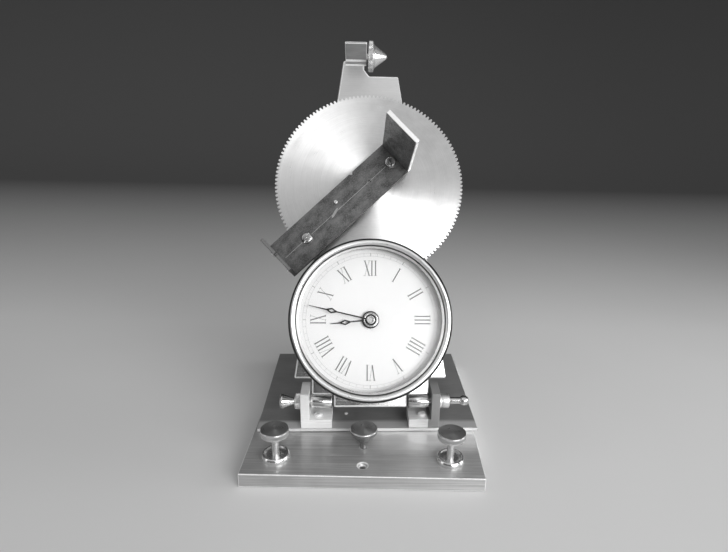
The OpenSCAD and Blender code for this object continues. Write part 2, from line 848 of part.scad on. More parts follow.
// Mainspring barrel, its spring and the winding arbor
module barrel() {
  floor_top = great_n + great_t;
  color("gray") at_barrel() difference() {
    union() {
      gear(barrel_teeth, train_module, small_add, small_ded, great_n, floor_top, 180);
      rod(shell_r, floor_top - eps, shell_top);
    }
    rod(winding_r + fit, great_n - 1, shell_top + 1);
    rod(shell_r - shell_wall, floor_top, shell_top + 1);
  }
}
module barrel_cover() {
  color("gray") at_barrel() ring(shell_r - shell_wall, winding_r + fit, shell_top - cover_t, shell_top);
}
// Spiral band lying against the barrel's wall
module mainspring(steps = 24) {
  out = shell_r - shell_wall - spring_band;
  low = great_n + great_t + 2 * air;
  turn = [for (i = [0 : spring_turns * steps]) 360 * i / steps];
  radius = [for (a = turn) out - spring_pitch * a / 360];
  outer = [for (i = [0 : len(turn) - 1]) radius[i] * [cos(turn[i]), sin(turn[i])]];
  inner = [for (i = [len(turn) - 1 : -1 : 0])
    (radius[i] - spring_band) * [cos(turn[i]), sin(turn[i])]];
  color("steelblue") at_barrel() translate([0, 0, low])
    linear_extrude(height = shell_top - cover_t - 2 * air - low) polygon(concat(outer, inner));
}
module winding_arbor() {
  color("gray") at_barrel() {
    rod(winding_r, winding_back, winding_pivot_n);
    rod(winding_pivot_r, winding_pivot_n - eps, front_plate_top);
  }
}
module winding_key() {
  color("gainsboro") at_barrel() difference() {
    union() {
      rod(key_hub_r, key_back + key_wing_l - 1, key_front);
      translate([-key_wing_r, -key_wing_t / 2, key_back]) cube([2 * key_wing_r, key_wing_t, key_wing_l]);
    }
    rod(winding_r, winding_back, 0);
  }
}

// Centre arbor and what turns with it
module center_arbor() {
  color("gray") at_clock() {
    rod(center_r, center_back, center_front);
    gear(center_leaves, train_module, pinion_add, pinion_ded, center_pinion_n,
      center_pinion_n + center_pinion_t, gap_turn(barrel_angle, center_leaves));
  }
}
// A gear with a bore, on an axis through the origin
module bored_gear(teeth, mod, add, ded, low, high, turn, bore) {
  difference() {
    gear(teeth, mod, add, ded, low, high, turn);
    rod(bore, low - 1, high + 1);
  }
}
module center_wheel() {
  color("gray") at_clock() bored_gear(center_teeth, center_module, small_add, small_ded,
    center_wheel_n, center_wheel_n + center_wheel_t, 0, center_r);
}
module drive_wheel() {
  color("gray") at_clock() bored_gear(drive_teeth, drive_module, small_add, small_ded,
    drive_n, drive_n + drive_t, gap_turn(90, drive_teeth), center_r);
}
module cannon_pinion() {
  color("gray") at_clock() difference() {
    union() {
      gear(cannon_leaves, cannon_module, pinion_add, pinion_ded, motion_n, motion_n + motion_t,
        motion_angle);
      rod(cannon_r, motion_n, minute_hand_n + hand_t);
    }
    rod(center_r, motion_n - 1, center_front);
  }
}
// Minute wheel with its pinion, on a stud in the front plate
module minute_wheel() {
  middle = motion_n + motion_t;
  color("gray") at_minute() difference() {
    union() {
      gear(minute_teeth, cannon_module, small_add, small_ded, motion_n, middle,
        gap_turn(180, minute_teeth));
      gear(minute_leaves, hour_module, pinion_add, pinion_ded, middle - eps, minute_pinion_top, 180);
    }
    rod(minute_stud_r + fit, motion_n - 1, minute_pinion_top + 1);
  }
}
module hour_wheel() {
  color("gray") at_clock() difference() {
    union() {
      gear(hour_teeth, hour_module, small_add, small_ded, hour_wheel_n, hour_wheel_n + motion_t,
        gap_turn(motion_angle, hour_teeth));
      rod(pipe_r, hour_wheel_n, hour_hand_n + hand_t);
    }
    rod(cannon_r + fit, hour_wheel_n - 1, hour_hand_n + 1);
  }
}

// Take-off arbor, from the movement through the case back to the day wheel
module takeoff_arbor() {
  color("gray") at_takeoff() {
    rod(takeoff_r, -plate_t / 2, rear_plate_n - air);
    rod(takeoff_pivot_r, rear_plate_n - air - eps, train_low);
    gear(takeoff_leaves, wheel_module, pinion_add, pinion_ded, pinion_back, pinion_front,
      gap_turn(90, takeoff_leaves));
  }
}
module takeoff_wheel() {
  color("gray") at_takeoff() bored_gear(takeoff_teeth, drive_module, small_add, small_ded,
    drive_n, drive_n + drive_t, -90, takeoff_r);
}

// Escapement platform with its cock, and the balance
module escapement_platform() {
  depth = platform_y[1] - platform_y[0];
  color("gray") at_clock() difference() {
    union() {
      translate([platform_x[0], platform_y[0], train_low])
        cube([platform_x[1] - platform_x[0], depth, platform_top - train_low]);
      translate([cock_post_x, platform_y[0], platform_top - eps])
        cube([platform_x[1] - cock_post_x, depth, cock_top - platform_top + eps]);
      translate([balance_x - cock_w / 2, balance_y - cock_w / 2, cock_low])
        cube([cock_post_x - balance_x + cock_w / 2 + eps, cock_w, cock_top - cock_low]);
    }
    translate([balance_x, balance_y, 0]) rod(staff_r + fit, platform_top - 1, cock_top + 1);
  }
}
module balance() {
  color("gainsboro") at_clock() translate([balance_x, balance_y, 0]) {
    rod(staff_r, platform_top - 1 + air, cock_top);
    ring(balance_r, balance_r - balance_rim, balance_n, balance_n + balance_t);
    translate([-balance_r + balance_rim / 2, -balance_rim / 2, balance_n])
      cube([2 * balance_r - balance_rim, balance_rim, balance_t]);
  }
}

base_slab();
level_bushes();
level_screw_left();
level_screw_right();
hold_down_screw();
turntable_pivot();
thrust_washer();
turntable_plate();
bracket_left();
bracket_right();
bracket_screws();
pivot_screw_left();
pivot_screw_right();
lock_nut_left();
collar_nut_right();
carrier_plate();
hinge_barrel();
top_lug();
top_thumbscrew();
wheel_stud();
stud_washer();
stud_screw();
day_wheel();
alidade_spacers();
alidade_bar();
alidade_screws();
alidade_pin();
head_vane();
tail_vane();
vane_screws();
drum_pillars();
drum_screws();
drum_case();
case_back();
movement_spacers();
rear_train_plate();
front_train_plate();
train_posts();
train_screws();
bezel();
glass();
dial();
hour_hand();
minute_hand();
hand_nut();
barrel();
barrel_cover();
mainspring();
winding_arbor();
winding_key();
center_arbor();
center_wheel();
drive_wheel();
cannon_pinion();
minute_wheel();
hour_wheel();
takeoff_arbor();
takeoff_wheel();
escapement_platform();
balance();
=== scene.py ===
"""Looks of the sun clock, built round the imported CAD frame."""

from math import cos, pi, radians, sin

import bmesh
import bpy
from mathutils import Matrix, Vector

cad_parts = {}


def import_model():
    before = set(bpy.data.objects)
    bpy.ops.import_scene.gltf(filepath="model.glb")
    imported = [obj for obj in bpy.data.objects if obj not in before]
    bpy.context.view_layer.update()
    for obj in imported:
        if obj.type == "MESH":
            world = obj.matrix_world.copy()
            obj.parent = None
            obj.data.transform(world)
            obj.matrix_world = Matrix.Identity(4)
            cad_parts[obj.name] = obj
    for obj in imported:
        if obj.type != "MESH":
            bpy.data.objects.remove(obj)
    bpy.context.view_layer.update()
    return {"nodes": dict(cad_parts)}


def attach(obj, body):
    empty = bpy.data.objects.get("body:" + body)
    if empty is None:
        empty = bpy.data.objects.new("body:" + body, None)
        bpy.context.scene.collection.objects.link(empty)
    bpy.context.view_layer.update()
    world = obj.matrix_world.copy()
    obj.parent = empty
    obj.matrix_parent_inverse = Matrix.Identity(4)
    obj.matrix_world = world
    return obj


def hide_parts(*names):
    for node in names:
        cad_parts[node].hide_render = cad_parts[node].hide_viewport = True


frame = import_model()
NODES = frame["nodes"]
MM = 0.001

# Places and main sizes, which the solids have too (millimetres)
BASE_T = 6.35
LEVEL_X = 38.5
LEVEL_Y = -44.0
HOLD_Y = -35.4
PIVOT_Y = 16.0
AZIMUTH_SET = radians(2.5)
TABLE_TOP = 8.25
HINGE_X = 1.0
HINGE_Y = -17.0
HINGE_H = 11.0
LEAN = radians(25)
PLATE_FACE = 1.5
PLATE_TOP = 172.4
WHEEL_U = 105.0
BAR_ANGLE = radians(43.7)
BAR_TOP = 13.0
BAR_T = 2.5
HEAD_REACH = 17.0
TAIL_REACH = 56.0
CLOCK_U = 37.39
DIAL_TOP = 39.0


# Frames of the part
def shift(x, y, z):
    return Matrix.Translation(Vector((x, y, z)) * MM)


def turn(angle, axis):
    return Matrix.Rotation(angle, 4, axis)


AZIMUTH = shift(0, PIVOT_Y, 0) @ turn(AZIMUTH_SET, "Z") @ shift(0, -PIVOT_Y, 0)
ON_TABLE = AZIMUTH @ shift(HINGE_X, HINGE_Y, TABLE_TOP)
ON_PLATE = AZIMUTH @ shift(0, HINGE_Y, TABLE_TOP + HINGE_H) @ turn(pi / 2 - LEAN, "X")
AT_WHEEL = ON_PLATE @ shift(0, WHEEL_U, 0)
ALONG_BAR = AT_WHEEL @ turn(BAR_ANGLE, "Z")
AT_CLOCK = ON_PLATE @ shift(0, CLOCK_U, 0)
HERE = Matrix.Identity(4)
X_AXIS = (1, 0, 0)
Z_AXIS = (0, 0, 1)


def on_hinge(side):
    """Frame on the hinge whose z axis looks out to a side."""
    return ON_TABLE @ shift(0, 0, HINGE_H) @ turn(side * pi / 2, "Y")


def heading(place, axis):
    """Direction of an axis of a frame."""
    return (place.to_3x3() @ Vector(axis)).normalized()


# Shader nodes; the first four values are the Mix node's sockets for colours
MIX_FACTOR = 0
MIX_FIRST = 6
MIX_SECOND = 7
MIX_RESULT = 2
# Cosines between which a face starts and ends to look along an axis
FACING = (0.75, 0.9)
# How far the noise of a ring moves on its way round
GRAIN_WANDER = 1.2


def put(tree, kind, inputs=None, **props):
    """A shader node with its properties, constant inputs and links."""
    made = tree.nodes.new("ShaderNode" + kind)
    for key, value in props.items():
        setattr(made, key, value)
    for key, value in (inputs or {}).items():
        if isinstance(value, bpy.types.NodeSocket):
            tree.links.new(value, made.inputs[key])
        else:
            made.inputs[key].default_value = value
    return made


def calc(tree, operation, first, second, **props):
    return put(tree, "Math", {0: first, 1: second}, operation=operation, **props).outputs[0]


def vector(tree, operation, first, second=(0, 0, 0)):
    """Outputs of a sum with vectors: the first is a vector, and Value a length or dot product."""
    return put(tree, "VectorMath", {0: first, 1: second}, operation=operation).outputs


def local(tree, place, size=(1, 1, 1)):
    """Coordinates along a frame's axes, in units of size (mm)."""
    coords = put(tree, "TexCoord").outputs["Object"]
    return put(tree, "Mapping", {
        "Vector": coords, "Location": place.translation, "Rotation": place.to_euler("XYZ"),
        "Scale": [s * MM for s in size]}, vector_type="TEXTURE").outputs[0]


def coordinate(tree, place, axis):
    """One coordinate in a frame (mm)."""
    return put(tree, "SeparateXYZ", {0: local(tree, place)}).outputs[axis]


def from_axis(tree, place):
    """Place across a frame's z axis, and the distance from that axis (mm)."""
    flat = vector(tree, "MULTIPLY", local(tree, place), (1, 1, 0))[0]
    return flat, vector(tree, "LENGTH", flat)["Value"]


def rings(tree, place, width, height):
    """Coordinates whose noise runs in rings round a frame's z axis, width (mm) apart."""
    flat, radius = from_axis(tree, place)
    up = calc(tree, "DIVIDE", coordinate(tree, place, "Z"), height)
    out = calc(tree, "DIVIDE", radius, width)
    rise = put(tree, "CombineXYZ", {"Z": calc(tree, "ADD", out, up)}).outputs[0]
    around = vector(tree, "NORMALIZE", flat)[0]
    drift = put(tree, "VectorMath", {0: around, "Scale": GRAIN_WANDER}, operation="SCALE").outputs[0]
    return vector(tree, "ADD", rise, drift)[0]


def noise(tree, coords, detail=3.0, rough=0.55):
    return put(tree, "TexNoise", {"Vector": coords, "Scale": 1.0, "Detail": detail,
                                  "Roughness": rough}).outputs[0]


def span(tree, value, low, high, begin=0.3, end=0.7):
    """From low to high as a value goes from begin to end, by default over most of a noise."""
    return put(tree, "MapRange", {"Value": value, "From Min": begin, "From Max": end,
                                  "To Min": low, "To Max": high}).outputs[0]


def beyond(tree, value, edge, fade=0.1):
    """Factor 1 past an edge and 0 before it."""
    return span(tree, value, 0, 1, edge - fade, edge + fade)


def before(tree, value, edge, fade=0.1):
    """Factor 1 before an edge and 0 past it."""
    return span(tree, value, 1, 0, edge - fade, edge + fade)


def colour(value):
    """A grey level or an RGB as a full colour; a socket stays."""
    if isinstance(value, (int, float)):
        return (value, value, value, 1)
    if isinstance(value, tuple):
        return (*value, 1)
    return value


def blend(tree, factor, first, second, mode="MIX"):
    """Colour between two, each a grey level, an RGB or a socket."""
    inputs = {MIX_FACTOR: factor, MIX_FIRST: colour(first), MIX_SECOND: colour(second)}
    return put(tree, "Mix", inputs, data_type="RGBA", blend_type=mode).outputs[MIX_RESULT]


def along(tree, place, axis):
    """Factor 1 where a face looks along a frame's axis, either way, and 0 where it looks across it."""
    normal = put(tree, "NewGeometry").outputs["Normal"]
    own = put(tree, "VectorTransform", {0: normal}, vector_type="NORMAL", convert_from="WORLD",
              convert_to="OBJECT").outputs[0]
    dot = vector(tree, "DOT_PRODUCT", own, heading(place, axis))["Value"]
    size = put(tree, "Math", {0: dot}, operation="ABSOLUTE").outputs[0]
    return span(tree, size, 0, 1, *FACING)


# What the materials share: gloss drawn out across the grain, and the grain's depth (mm)
ACROSS = {"Anisotropic Rotation": 0.25}
GRAIN_DEEP = 0.02


def blank(name):
    """A new material with an empty node tree."""
    made = bpy.data.materials.new(name)
    made.use_nodes = True
    made.node_tree.nodes.clear()
    return made, made.node_tree


def start(name, **inputs):
    """A new material with a principled shader."""
    made, tree = blank(name)
    shader = put(tree, "BsdfPrincipled", inputs)
    put(tree, "OutputMaterial", {0: shader.outputs[0]})
    return made, tree, shader


def inside(made):
    """Node tree and principled shader of a material."""
    tree = made.node_tree
    return tree, next(n for n in tree.nodes if n.type == "BSDF_PRINCIPLED")


def surface(tree, shader, tone, rough):
    tree.links.new(tone, shader.inputs["Base Color"])
    tree.links.new(rough, shader.inputs["Roughness"])


def relief(tree, shader, height, strength, deep):
    """Bump of a strength, from a height that stands for deep (mm)."""
    bump = put(tree, "Bump", {"Height": height, "Strength": strength, "Distance": deep * MM})
    tree.links.new(bump.outputs[0], shader.inputs["Normal"])


def draw_out(tree, shader, direction):
    """Sets the direction, in the object's own axes, that the grain runs in."""
    tangent = put(tree, "VectorTransform", {0: direction}, vector_type="VECTOR",
                  convert_from="OBJECT", convert_to="WORLD").outputs[0]
    tree.links.new(tangent, shader.inputs["Tangent"])


def shade(tree, shader, factor, tone):
    """Brings the base colour to a darker or lighter tone where the factor is 1."""
    source = shader.inputs["Base Color"].links[0].from_socket
    tree.links.new(blend(tree, factor, source, tone), shader.inputs["Base Color"])


def metal_tone(tree, streak, blotch, tone, spread):
    """A metal's tone, spread by its grain and darkened a little by its blotches."""
    grain = blend(tree, span(tree, streak, 0, 1), tone * (1 - spread), min(tone * (1 + spread), 1))
    stain = blend(tree, span(tree, blotch, 0, 1, 0.35, 0.75), 1.0, 0.9)
    return blend(tree, 1, grain, stain, mode="MULTIPLY")


def finish_metal(tree, shader, streak, blotch, tone, rough, bump):
    """Colour, roughness and bump of a metal from its grain, its blotches and its tone."""
    wear = calc(tree, "ADD", span(tree, streak, -0.05, 0.05), span(tree, blotch, -0.04, 0.08))
    surface(tree, shader, tone, calc(tree, "ADD", wear, rough, use_clamp=True))
    relief(tree, shader, streak, bump, GRAIN_DEEP)


def brushed(name, tone, rough, place=HERE, grain=(14, 0.16, 0.16), bump=0.35, spread=0.12,
            aniso=0.5, bare=1.0):
    """Metal brushed along the frame's x axis; bare below 1 leaves an oxide that takes shadows."""
    made, tree, shader = start(name, Metallic=bare, Anisotropic=aniso, **ACROSS)
    draw_out(tree, shader, heading(place, X_AXIS))
    streak = noise(tree, local(tree, place, grain))
    blotch = noise(tree, local(tree, place, (11, 7, 9)), detail=4)
    shown = metal_tone(tree, streak, blotch, tone, spread)
    finish_metal(tree, shader, streak, blotch, shown, rough, bump)
    return made


def turned(name, tone, rough, place=HERE, width=0.14, height=0.14, bump=0.3, spread=0.08,
           aniso=0.55, bare=1.0):
    """Metal with rings round the frame's z axis, as a lathe or a brush leaves them."""
    made, tree, shader = start(name, Metallic=bare, Anisotropic=aniso, **ACROSS)
    coords = put(tree, "TexCoord").outputs["Object"]
    arm = vector(tree, "SUBTRACT", coords, place.translation)[0]
    draw_out(tree, shader, vector(tree, "CROSS_PRODUCT", heading(place, Z_AXIS), arm)[0])
    streak = noise(tree, rings(tree, place, width, height))
    blotch = noise(tree, local(tree, place, (6, 6, 6)), detail=4)
    shown = metal_tone(tree, streak, blotch, tone, spread)
    finish_metal(tree, shader, streak, blotch, shown, rough, bump)
    return made


def plain_metal(name, tone, rough, size=1.2, spread=0.1, bare=1.0):
    """Metal of small pieces, with a fine uneven surface."""
    made, tree, shader = start(name, Metallic=bare)
    streak = noise(tree, local(tree, HERE, (size, size, size)), detail=5, rough=0.65)
    blotch = noise(tree, local(tree, HERE, (5, 4, 6)))
    shown = metal_tone(tree, streak, blotch, tone, spread)
    finish_metal(tree, shader, streak, blotch, shown, rough, bump=0.15)
    return made


# Materials of single pieces, with the places (mm) where they change
# Painted shade on the right bracket's upright: where it starts along x (mm), and its tone
SHADE_X = 27.5
SHADE_TONE = 0.3


def bracket_with_painted_shade(name):
    """As the other bracket, but with painted shade on its upright."""
    made = brushed(name, 0.9, 0.42, ON_TABLE, grain=(8, 0.25, 0.25), spread=0.12, bare=0.4)
    tree, shader = inside(made)
    # Painted shade: the upright, past that x, is painted dark
    shade(tree, shader, beyond(tree, coordinate(tree, ON_TABLE, "X"), SHADE_X), SHADE_TONE)
    return made


GROOVE_IN = 30.4
GROOVE_OUT = 30.95
BEAD_OUT = 32.8
BEAD_N = (42.05, 42.45)
# Tones of the painted shade: on the inner lip, and in the groove and on the bead's outer flank
LIP_SHADE_TONE = 0.5
BEZEL_SHADE_TONE = 0.05


def bezel_metal(name):
    """Polished ring with painted shade: its inner lip is painted darker, and the groove inside its bead
    and the bead's outer flank are painted dark.
    """
    made = turned(name, 0.88, 0.3, AT_CLOCK, width=0.25, height=0.25, bump=0.12, spread=0.04)
    tree, shader = inside(made)
    radius = from_axis(tree, AT_CLOCK)[1]
    ahead = span(tree, coordinate(tree, AT_CLOCK, "Z"), 0, 1, *BEAD_N)
    outer = calc(tree, "MULTIPLY", beyond(tree, radius, BEAD_OUT, fade=0.15), ahead)
    groove = calc(tree, "MULTIPLY", beyond(tree, radius, GROOVE_IN), before(tree, radius, GROOVE_OUT))
    # Painted shade on the inner lip, in the groove and on the bead's outer flank
    shade(tree, shader, before(tree, radius, GROOVE_IN), LIP_SHADE_TONE)
    shade(tree, shader, groove, BEZEL_SHADE_TONE)
    shade(tree, shader, outer, BEZEL_SHADE_TONE)
    return made


# Painted light on the slab: where it fades in along x and y (mm), and its tone
LIT_PATCH_X = (1, 9)
LIT_PATCH_Y = (-41, -31)
LIT_PATCH_TONE = 1.0


def slab_with_painted_light(name):
    """Brushed slab with painted light: bright at the right and toward the back, up to where the
    turntable's front edge swings.
    """
    made = brushed(name, 0.56, 0.4, grain=(30, 0.24, 0.24), bump=0.6, spread=0.26, aniso=0.85,
                   bare=0.75)
    tree, shader = inside(made)
    right = span(tree, coordinate(tree, HERE, "X"), 0, 1, *LIT_PATCH_X)
    back = span(tree, coordinate(tree, HERE, "Y"), 0, 1, *LIT_PATCH_Y)
    grain = span(tree, noise(tree, local(tree, HERE, (24, 0.5, 0.5))), 0.8, 1)
    # Painted light: a bright patch at the back right, broken up by the grain
    wear_and_painted_light = calc(tree, "MULTIPLY", calc(tree, "MULTIPLY", right, back), grain)
    shade(tree, shader, wear_and_painted_light, LIT_PATCH_TONE)
    return made


DULL_U = (140, 160)
DULL_ROUGH = 0.25


def plate_metal(name):
    """Brushed plate, smooth below and dull near its top."""
    made = brushed(name, 0.68, 0.2, ON_PLATE, grain=(18, 0.3, 0.3), bump=0.1, spread=0.06)
    tree, shader = inside(made)
    smooth = shader.inputs["Roughness"].links[0].from_socket
    more = span(tree, coordinate(tree, ON_PLATE, "Y"), 0, DULL_ROUGH, *DULL_U)
    tree.links.new(calc(tree, "ADD", smooth, more), shader.inputs["Roughness"])
    return made


# Tone of the painted shade on the knobs' flat tops
KNOB_TOP_SHADE_TONE = 0.5
KNOB_UNDER_Z = (-0.9, -0.6)


def knob_metal(name, under=None):
    """Turned head whose flat top is painted darker as shade; under, if given, is the tone of the painted
    shade on all below its top edge.
    """
    made = turned(name, 0.74, 0.3, width=0.2, aniso=0.85, bare=0.88)
    tree, shader = inside(made)
    # Painted shade on the flat top
    shade(tree, shader, along(tree, HERE, Z_AXIS), KNOB_TOP_SHADE_TONE)
    if under:
        # Painted shade on all below the top edge
        below = span(tree, coordinate(tree, HERE, "Z"), 1, 0, *KNOB_UNDER_Z)
        shade(tree, shader, below, under)
    return made


def brass(name):
    """Grained brass of the movement."""
    made, tree, shader = start(name, Metallic=1.0)
    streak = noise(tree, local(tree, ON_PLATE, (10, 0.18, 0.18)))
    blotch = noise(tree, local(tree, ON_PLATE, (7, 7, 7)), detail=4)
    tint = blend(tree, span(tree, blotch, 0, 1), (0.66, 0.56, 0.36), (0.58, 0.48, 0.28))
    finish_metal(tree, shader, streak, blotch, tint, rough=0.3, bump=0.25)
    return made


STEEL_TINT = {"Specular Tint": (0.7, 0.7, 0.7, 1)}


def dark_steel(name, axis, edge, depth):
    """Clouded steel: faces along the axis in dark tones times depth, the others in the edge tone."""
    made, tree, shader = start(name, Metallic=1.0, **STEEL_TINT)
    mottle = noise(tree, local(tree, ALONG_BAR, (5.5, 3.2, 4.0)), detail=4)
    scratch = noise(tree, local(tree, ALONG_BAR, (11, 0.2, 0.2)))
    speck = noise(tree, local(tree, ALONG_BAR, (0.7, 0.5, 0.6)), rough=0.6)
    face = blend(tree, span(tree, mottle, 0, 1, 0.35, 0.7), 0.1 * depth, 0.2 * depth)
    grained = blend(tree, span(tree, speck, 0, 1, 0.45, 0.75), face, 0.25 * depth)
    wear_and_painted_light = blend(tree, span(tree, scratch, 0, 1, 0.6, 0.8), grained, 0.3 * depth)
    flat = along(tree, ALONG_BAR, axis)
    rough = calc(tree, "ADD", span(tree, mottle, 0.28, 0.4), span(tree, scratch, -0.03, 0.08))
    matt = calc(tree, "ADD", span(tree, flat, 0.3, 0, 0, 1), rough)
    surface(tree, shader, blend(tree, flat, edge, wear_and_painted_light), matt)
    relief(tree, shader, mottle, strength=0.12, deep=0.03)
    return made


# Painted light on the turntable: the front strip (mm) and its tone, and the tone of the bright sides
LIT_STRIP_Y = (-18.5, -16)
LIT_STRIP_TONE = 0.62
TABLE_EDGE_HIGHLIGHT_TONE = 0.8


def dull_plate(name):
    """Turntable: dull top and underside; painted light on a strip along the front, and its sides painted
    bright as a highlight.
    """
    made, tree, shader = start(name, Metallic=0.45)
    streak = noise(tree, local(tree, AZIMUTH, (16, 0.25, 0.25)))
    blotch = noise(tree, local(tree, AZIMUTH, (14, 9, 9)), detail=4)
    top = blend(tree, span(tree, blotch, 0, 1), 0.25, 0.31)
    lined = blend(tree, span(tree, streak, 0, 1, 0.55, 0.8), top, 0.4)
    # Painted light: a lighter strip along the front, and bright sides as a highlight
    front = span(tree, coordinate(tree, AZIMUTH, "Y"), 1, 0, *LIT_STRIP_Y)
    lit_strip = blend(tree, front, lined, LIT_STRIP_TONE)
    tone = blend(tree, along(tree, AZIMUTH, Z_AXIS), TABLE_EDGE_HIGHLIGHT_TONE, lit_strip)
    finish_metal(tree, shader, streak, blotch, tone, rough=0.52, bump=0.3)
    return made


def enamel(name):
    """White enamel, a little clouded and rippled."""
    made, tree, shader = start(name, **{"Specular IOR Level": 0.3})
    cloud = noise(tree, local(tree, AT_CLOCK, (9, 9, 9)), detail=4)
    surface(tree, shader, blend(tree, span(tree, cloud, 0, 1), 0.93, 0.9),
            span(tree, cloud, 0.2, 0.3))
    ripple = noise(tree, local(tree, AT_CLOCK, (3, 3, 3)), detail=2)
    relief(tree, shader, ripple, strength=0.1, deep=0.05)
    return made


def ink(name, dark, light):
    """Fired print of the dial."""
    made, tree, shader = start(name, **{"Specular IOR Level": 0.4})
    patch = noise(tree, local(tree, AT_CLOCK, (0.8, 0.8, 0.8)), detail=4)
    surface(tree, shader, blend(tree, span(tree, patch, 0, 1), dark, light),
            span(tree, patch, 0.35, 0.5))
    return made


def blued(name):
    """Dark steel of the hands."""
    made, tree, shader = start(name, Metallic=0.7)
    patch = noise(tree, local(tree, AT_CLOCK, (1.5, 1.5, 1.5)), detail=4)
    surface(tree, shader, blend(tree, span(tree, patch, 0, 1), 0.02, 0.05),
            span(tree, patch, 0.28, 0.42))
    return made


def clear_glass(name):
    """Flat glass: clear, with the sheen of its outer faces and a little dust."""
    made, tree = blank(name)
    dust = noise(tree, local(tree, AT_CLOCK, (2, 2, 2)), detail=5)
    behind = put(tree, "NewGeometry").outputs["Backfacing"]
    fresnel = put(tree, "Fresnel", {"IOR": 1.2}).outputs[0]
    sheen = calc(tree, "MULTIPLY", fresnel, calc(tree, "SUBTRACT", 1.0, behind))
    rough = span(tree, dust, 0.02, 0.06)
    gloss = put(tree, "BsdfGlossy", {"Color": (1, 1, 1, 1), "Roughness": rough}).outputs[0]
    clear = put(tree, "BsdfTransparent", {"Color": (0.99, 0.99, 0.99, 1)}).outputs[0]
    mixed = put(tree, "MixShader", {0: sheen, 1: clear, 2: gloss}).outputs[0]
    put(tree, "OutputMaterial", {0: mixed})
    return made


# Each metal's first two numbers are its tone and its roughness
M = {
    "slab": slab_with_painted_light("slab_nickel"),
    "plate": plate_metal("plate_nickel"),
    "bracket": brushed("bracket_nickel", 0.93, 0.42, ON_TABLE, grain=(8, 0.25, 0.25), spread=0.08,
                       bare=0.12),
    # Right bracket, with painted shade on its upright
    "shaded_upright": bracket_with_painted_shade("bracket_nickel_painted_shade"),
    "lug": brushed("lug_nickel", 0.44, 0.46, ON_PLATE, grain=(5, 0.25, 0.25), spread=0.16),
    "wheel": turned("wheel_silver", 0.84, 0.34, AT_WHEEL, width=0.16, spread=0.07, aniso=0.85),
    "hinge": turned("hinge_nickel", 0.74, 0.2, on_hinge(1), width=0.3, height=0.3, aniso=0.3),
    "drum": turned("drum_nickel", 0.64, 0.34, AT_CLOCK, width=0.3, height=0.25, bump=0.15,
                   aniso=0.4),
    "bezel": bezel_metal("bezel_nickel"),
    "turned": turned("turned_nickel", 0.76, 0.2, bare=0.92),
    "knob": knob_metal("knob_nickel"),
    # Knob metal with painted shade on all below the top edge, for the hold-down
    "tarnish": knob_metal("knob_nickel_shaded_under", under=0.3),
    # Dark knurl, used only on the hold-down's rim, as painted shade
    "knurl": turned("knurl_nickel", 0.2, 0.4, aniso=0.2),
    "ridge": turned("ridged_nickel", 0.5, 0.38, aniso=0.2, bare=0.85),
    "bright": plain_metal("bright_steel", 0.82, 0.26),
    "filed": plain_metal("filed_edge", 0.88, 0.6, size=0.5, bare=0.4),
    "polish": turned("polished_nickel", 0.95, 0.22, width=0.2, spread=0.06, aniso=0.3, bare=0.85),
    "satin": turned("satin_nickel", 0.84, 0.42, width=0.2, aniso=0.2),
    # Near-black edge for the alidade bar: a painted shadow line along its edges
    "dark": plain_metal("bar_edge_painted_shadow", 0.06, 0.45, size=0.5),
    "screw": turned("screw_steel", 0.5, 0.24, width=0.1, height=0.1, aniso=0.3),
    "arbor": plain_metal("arbor_steel", 0.46, 0.26),
    "grey": plain_metal("grey_steel", 0.5, 0.32),
    "brass": brass("movement_brass"),
    "bar": dark_steel("bar_steel", Z_AXIS, edge=0.1, depth=0.9),
    "head": dark_steel("head_steel", X_AXIS, edge=0.86, depth=3.8),
    "tail": dark_steel("tail_steel", X_AXIS, edge=0.22, depth=0.7),
    "table": dull_plate("turntable_dull"),
    "enamel": enamel("dial_enamel"),
    "ink": ink("dial_ink", 0.14, 0.2),
    "track": ink("dial_track", 0.45, 0.55),
    "hands": blued("hands_blued"),
    "glass": clear_glass("dial_glass"),
    "line": plain_metal("scribed_line", 0.42, 0.35),
}


# CAD nodes that stay: gap (mm) and angles for their rounded edges
WELD_GAP = 0.001
FLAT_ANGLE = radians(0.5)
EDGE_ANGLE = radians(40)
# Nodes whose holes lie too close together for a full rounded edge
CLAMPED = ("alidade_bar",)


def dress(name, key, bevel=0.0, rim=None):
    """Material, and a rounded edge of the given width (mm), on a CAD node."""
    part = NODES[name]
    part.data.materials.clear()
    part.data.materials.append(M[key])
    if not bevel:
        return
    part.modifiers.new("weld", "WELD").merge_threshold = WELD_GAP * MM
    flat = part.modifiers.new("flat", "DECIMATE")
    flat.decimate_type = "DISSOLVE"
    flat.angle_limit = FLAT_ANGLE
    edge = part.modifiers.new("edge", "BEVEL")
    edge.width = bevel * MM
    edge.segments = 2
    edge.limit_method = "ANGLE"
    edge.angle_limit = EDGE_ANGLE
    edge.use_clamp_overlap = name in CLAMPED
    edge.harden_normals = True
    if rim:
        part.data.materials.append(M[rim])
        edge.material = 1


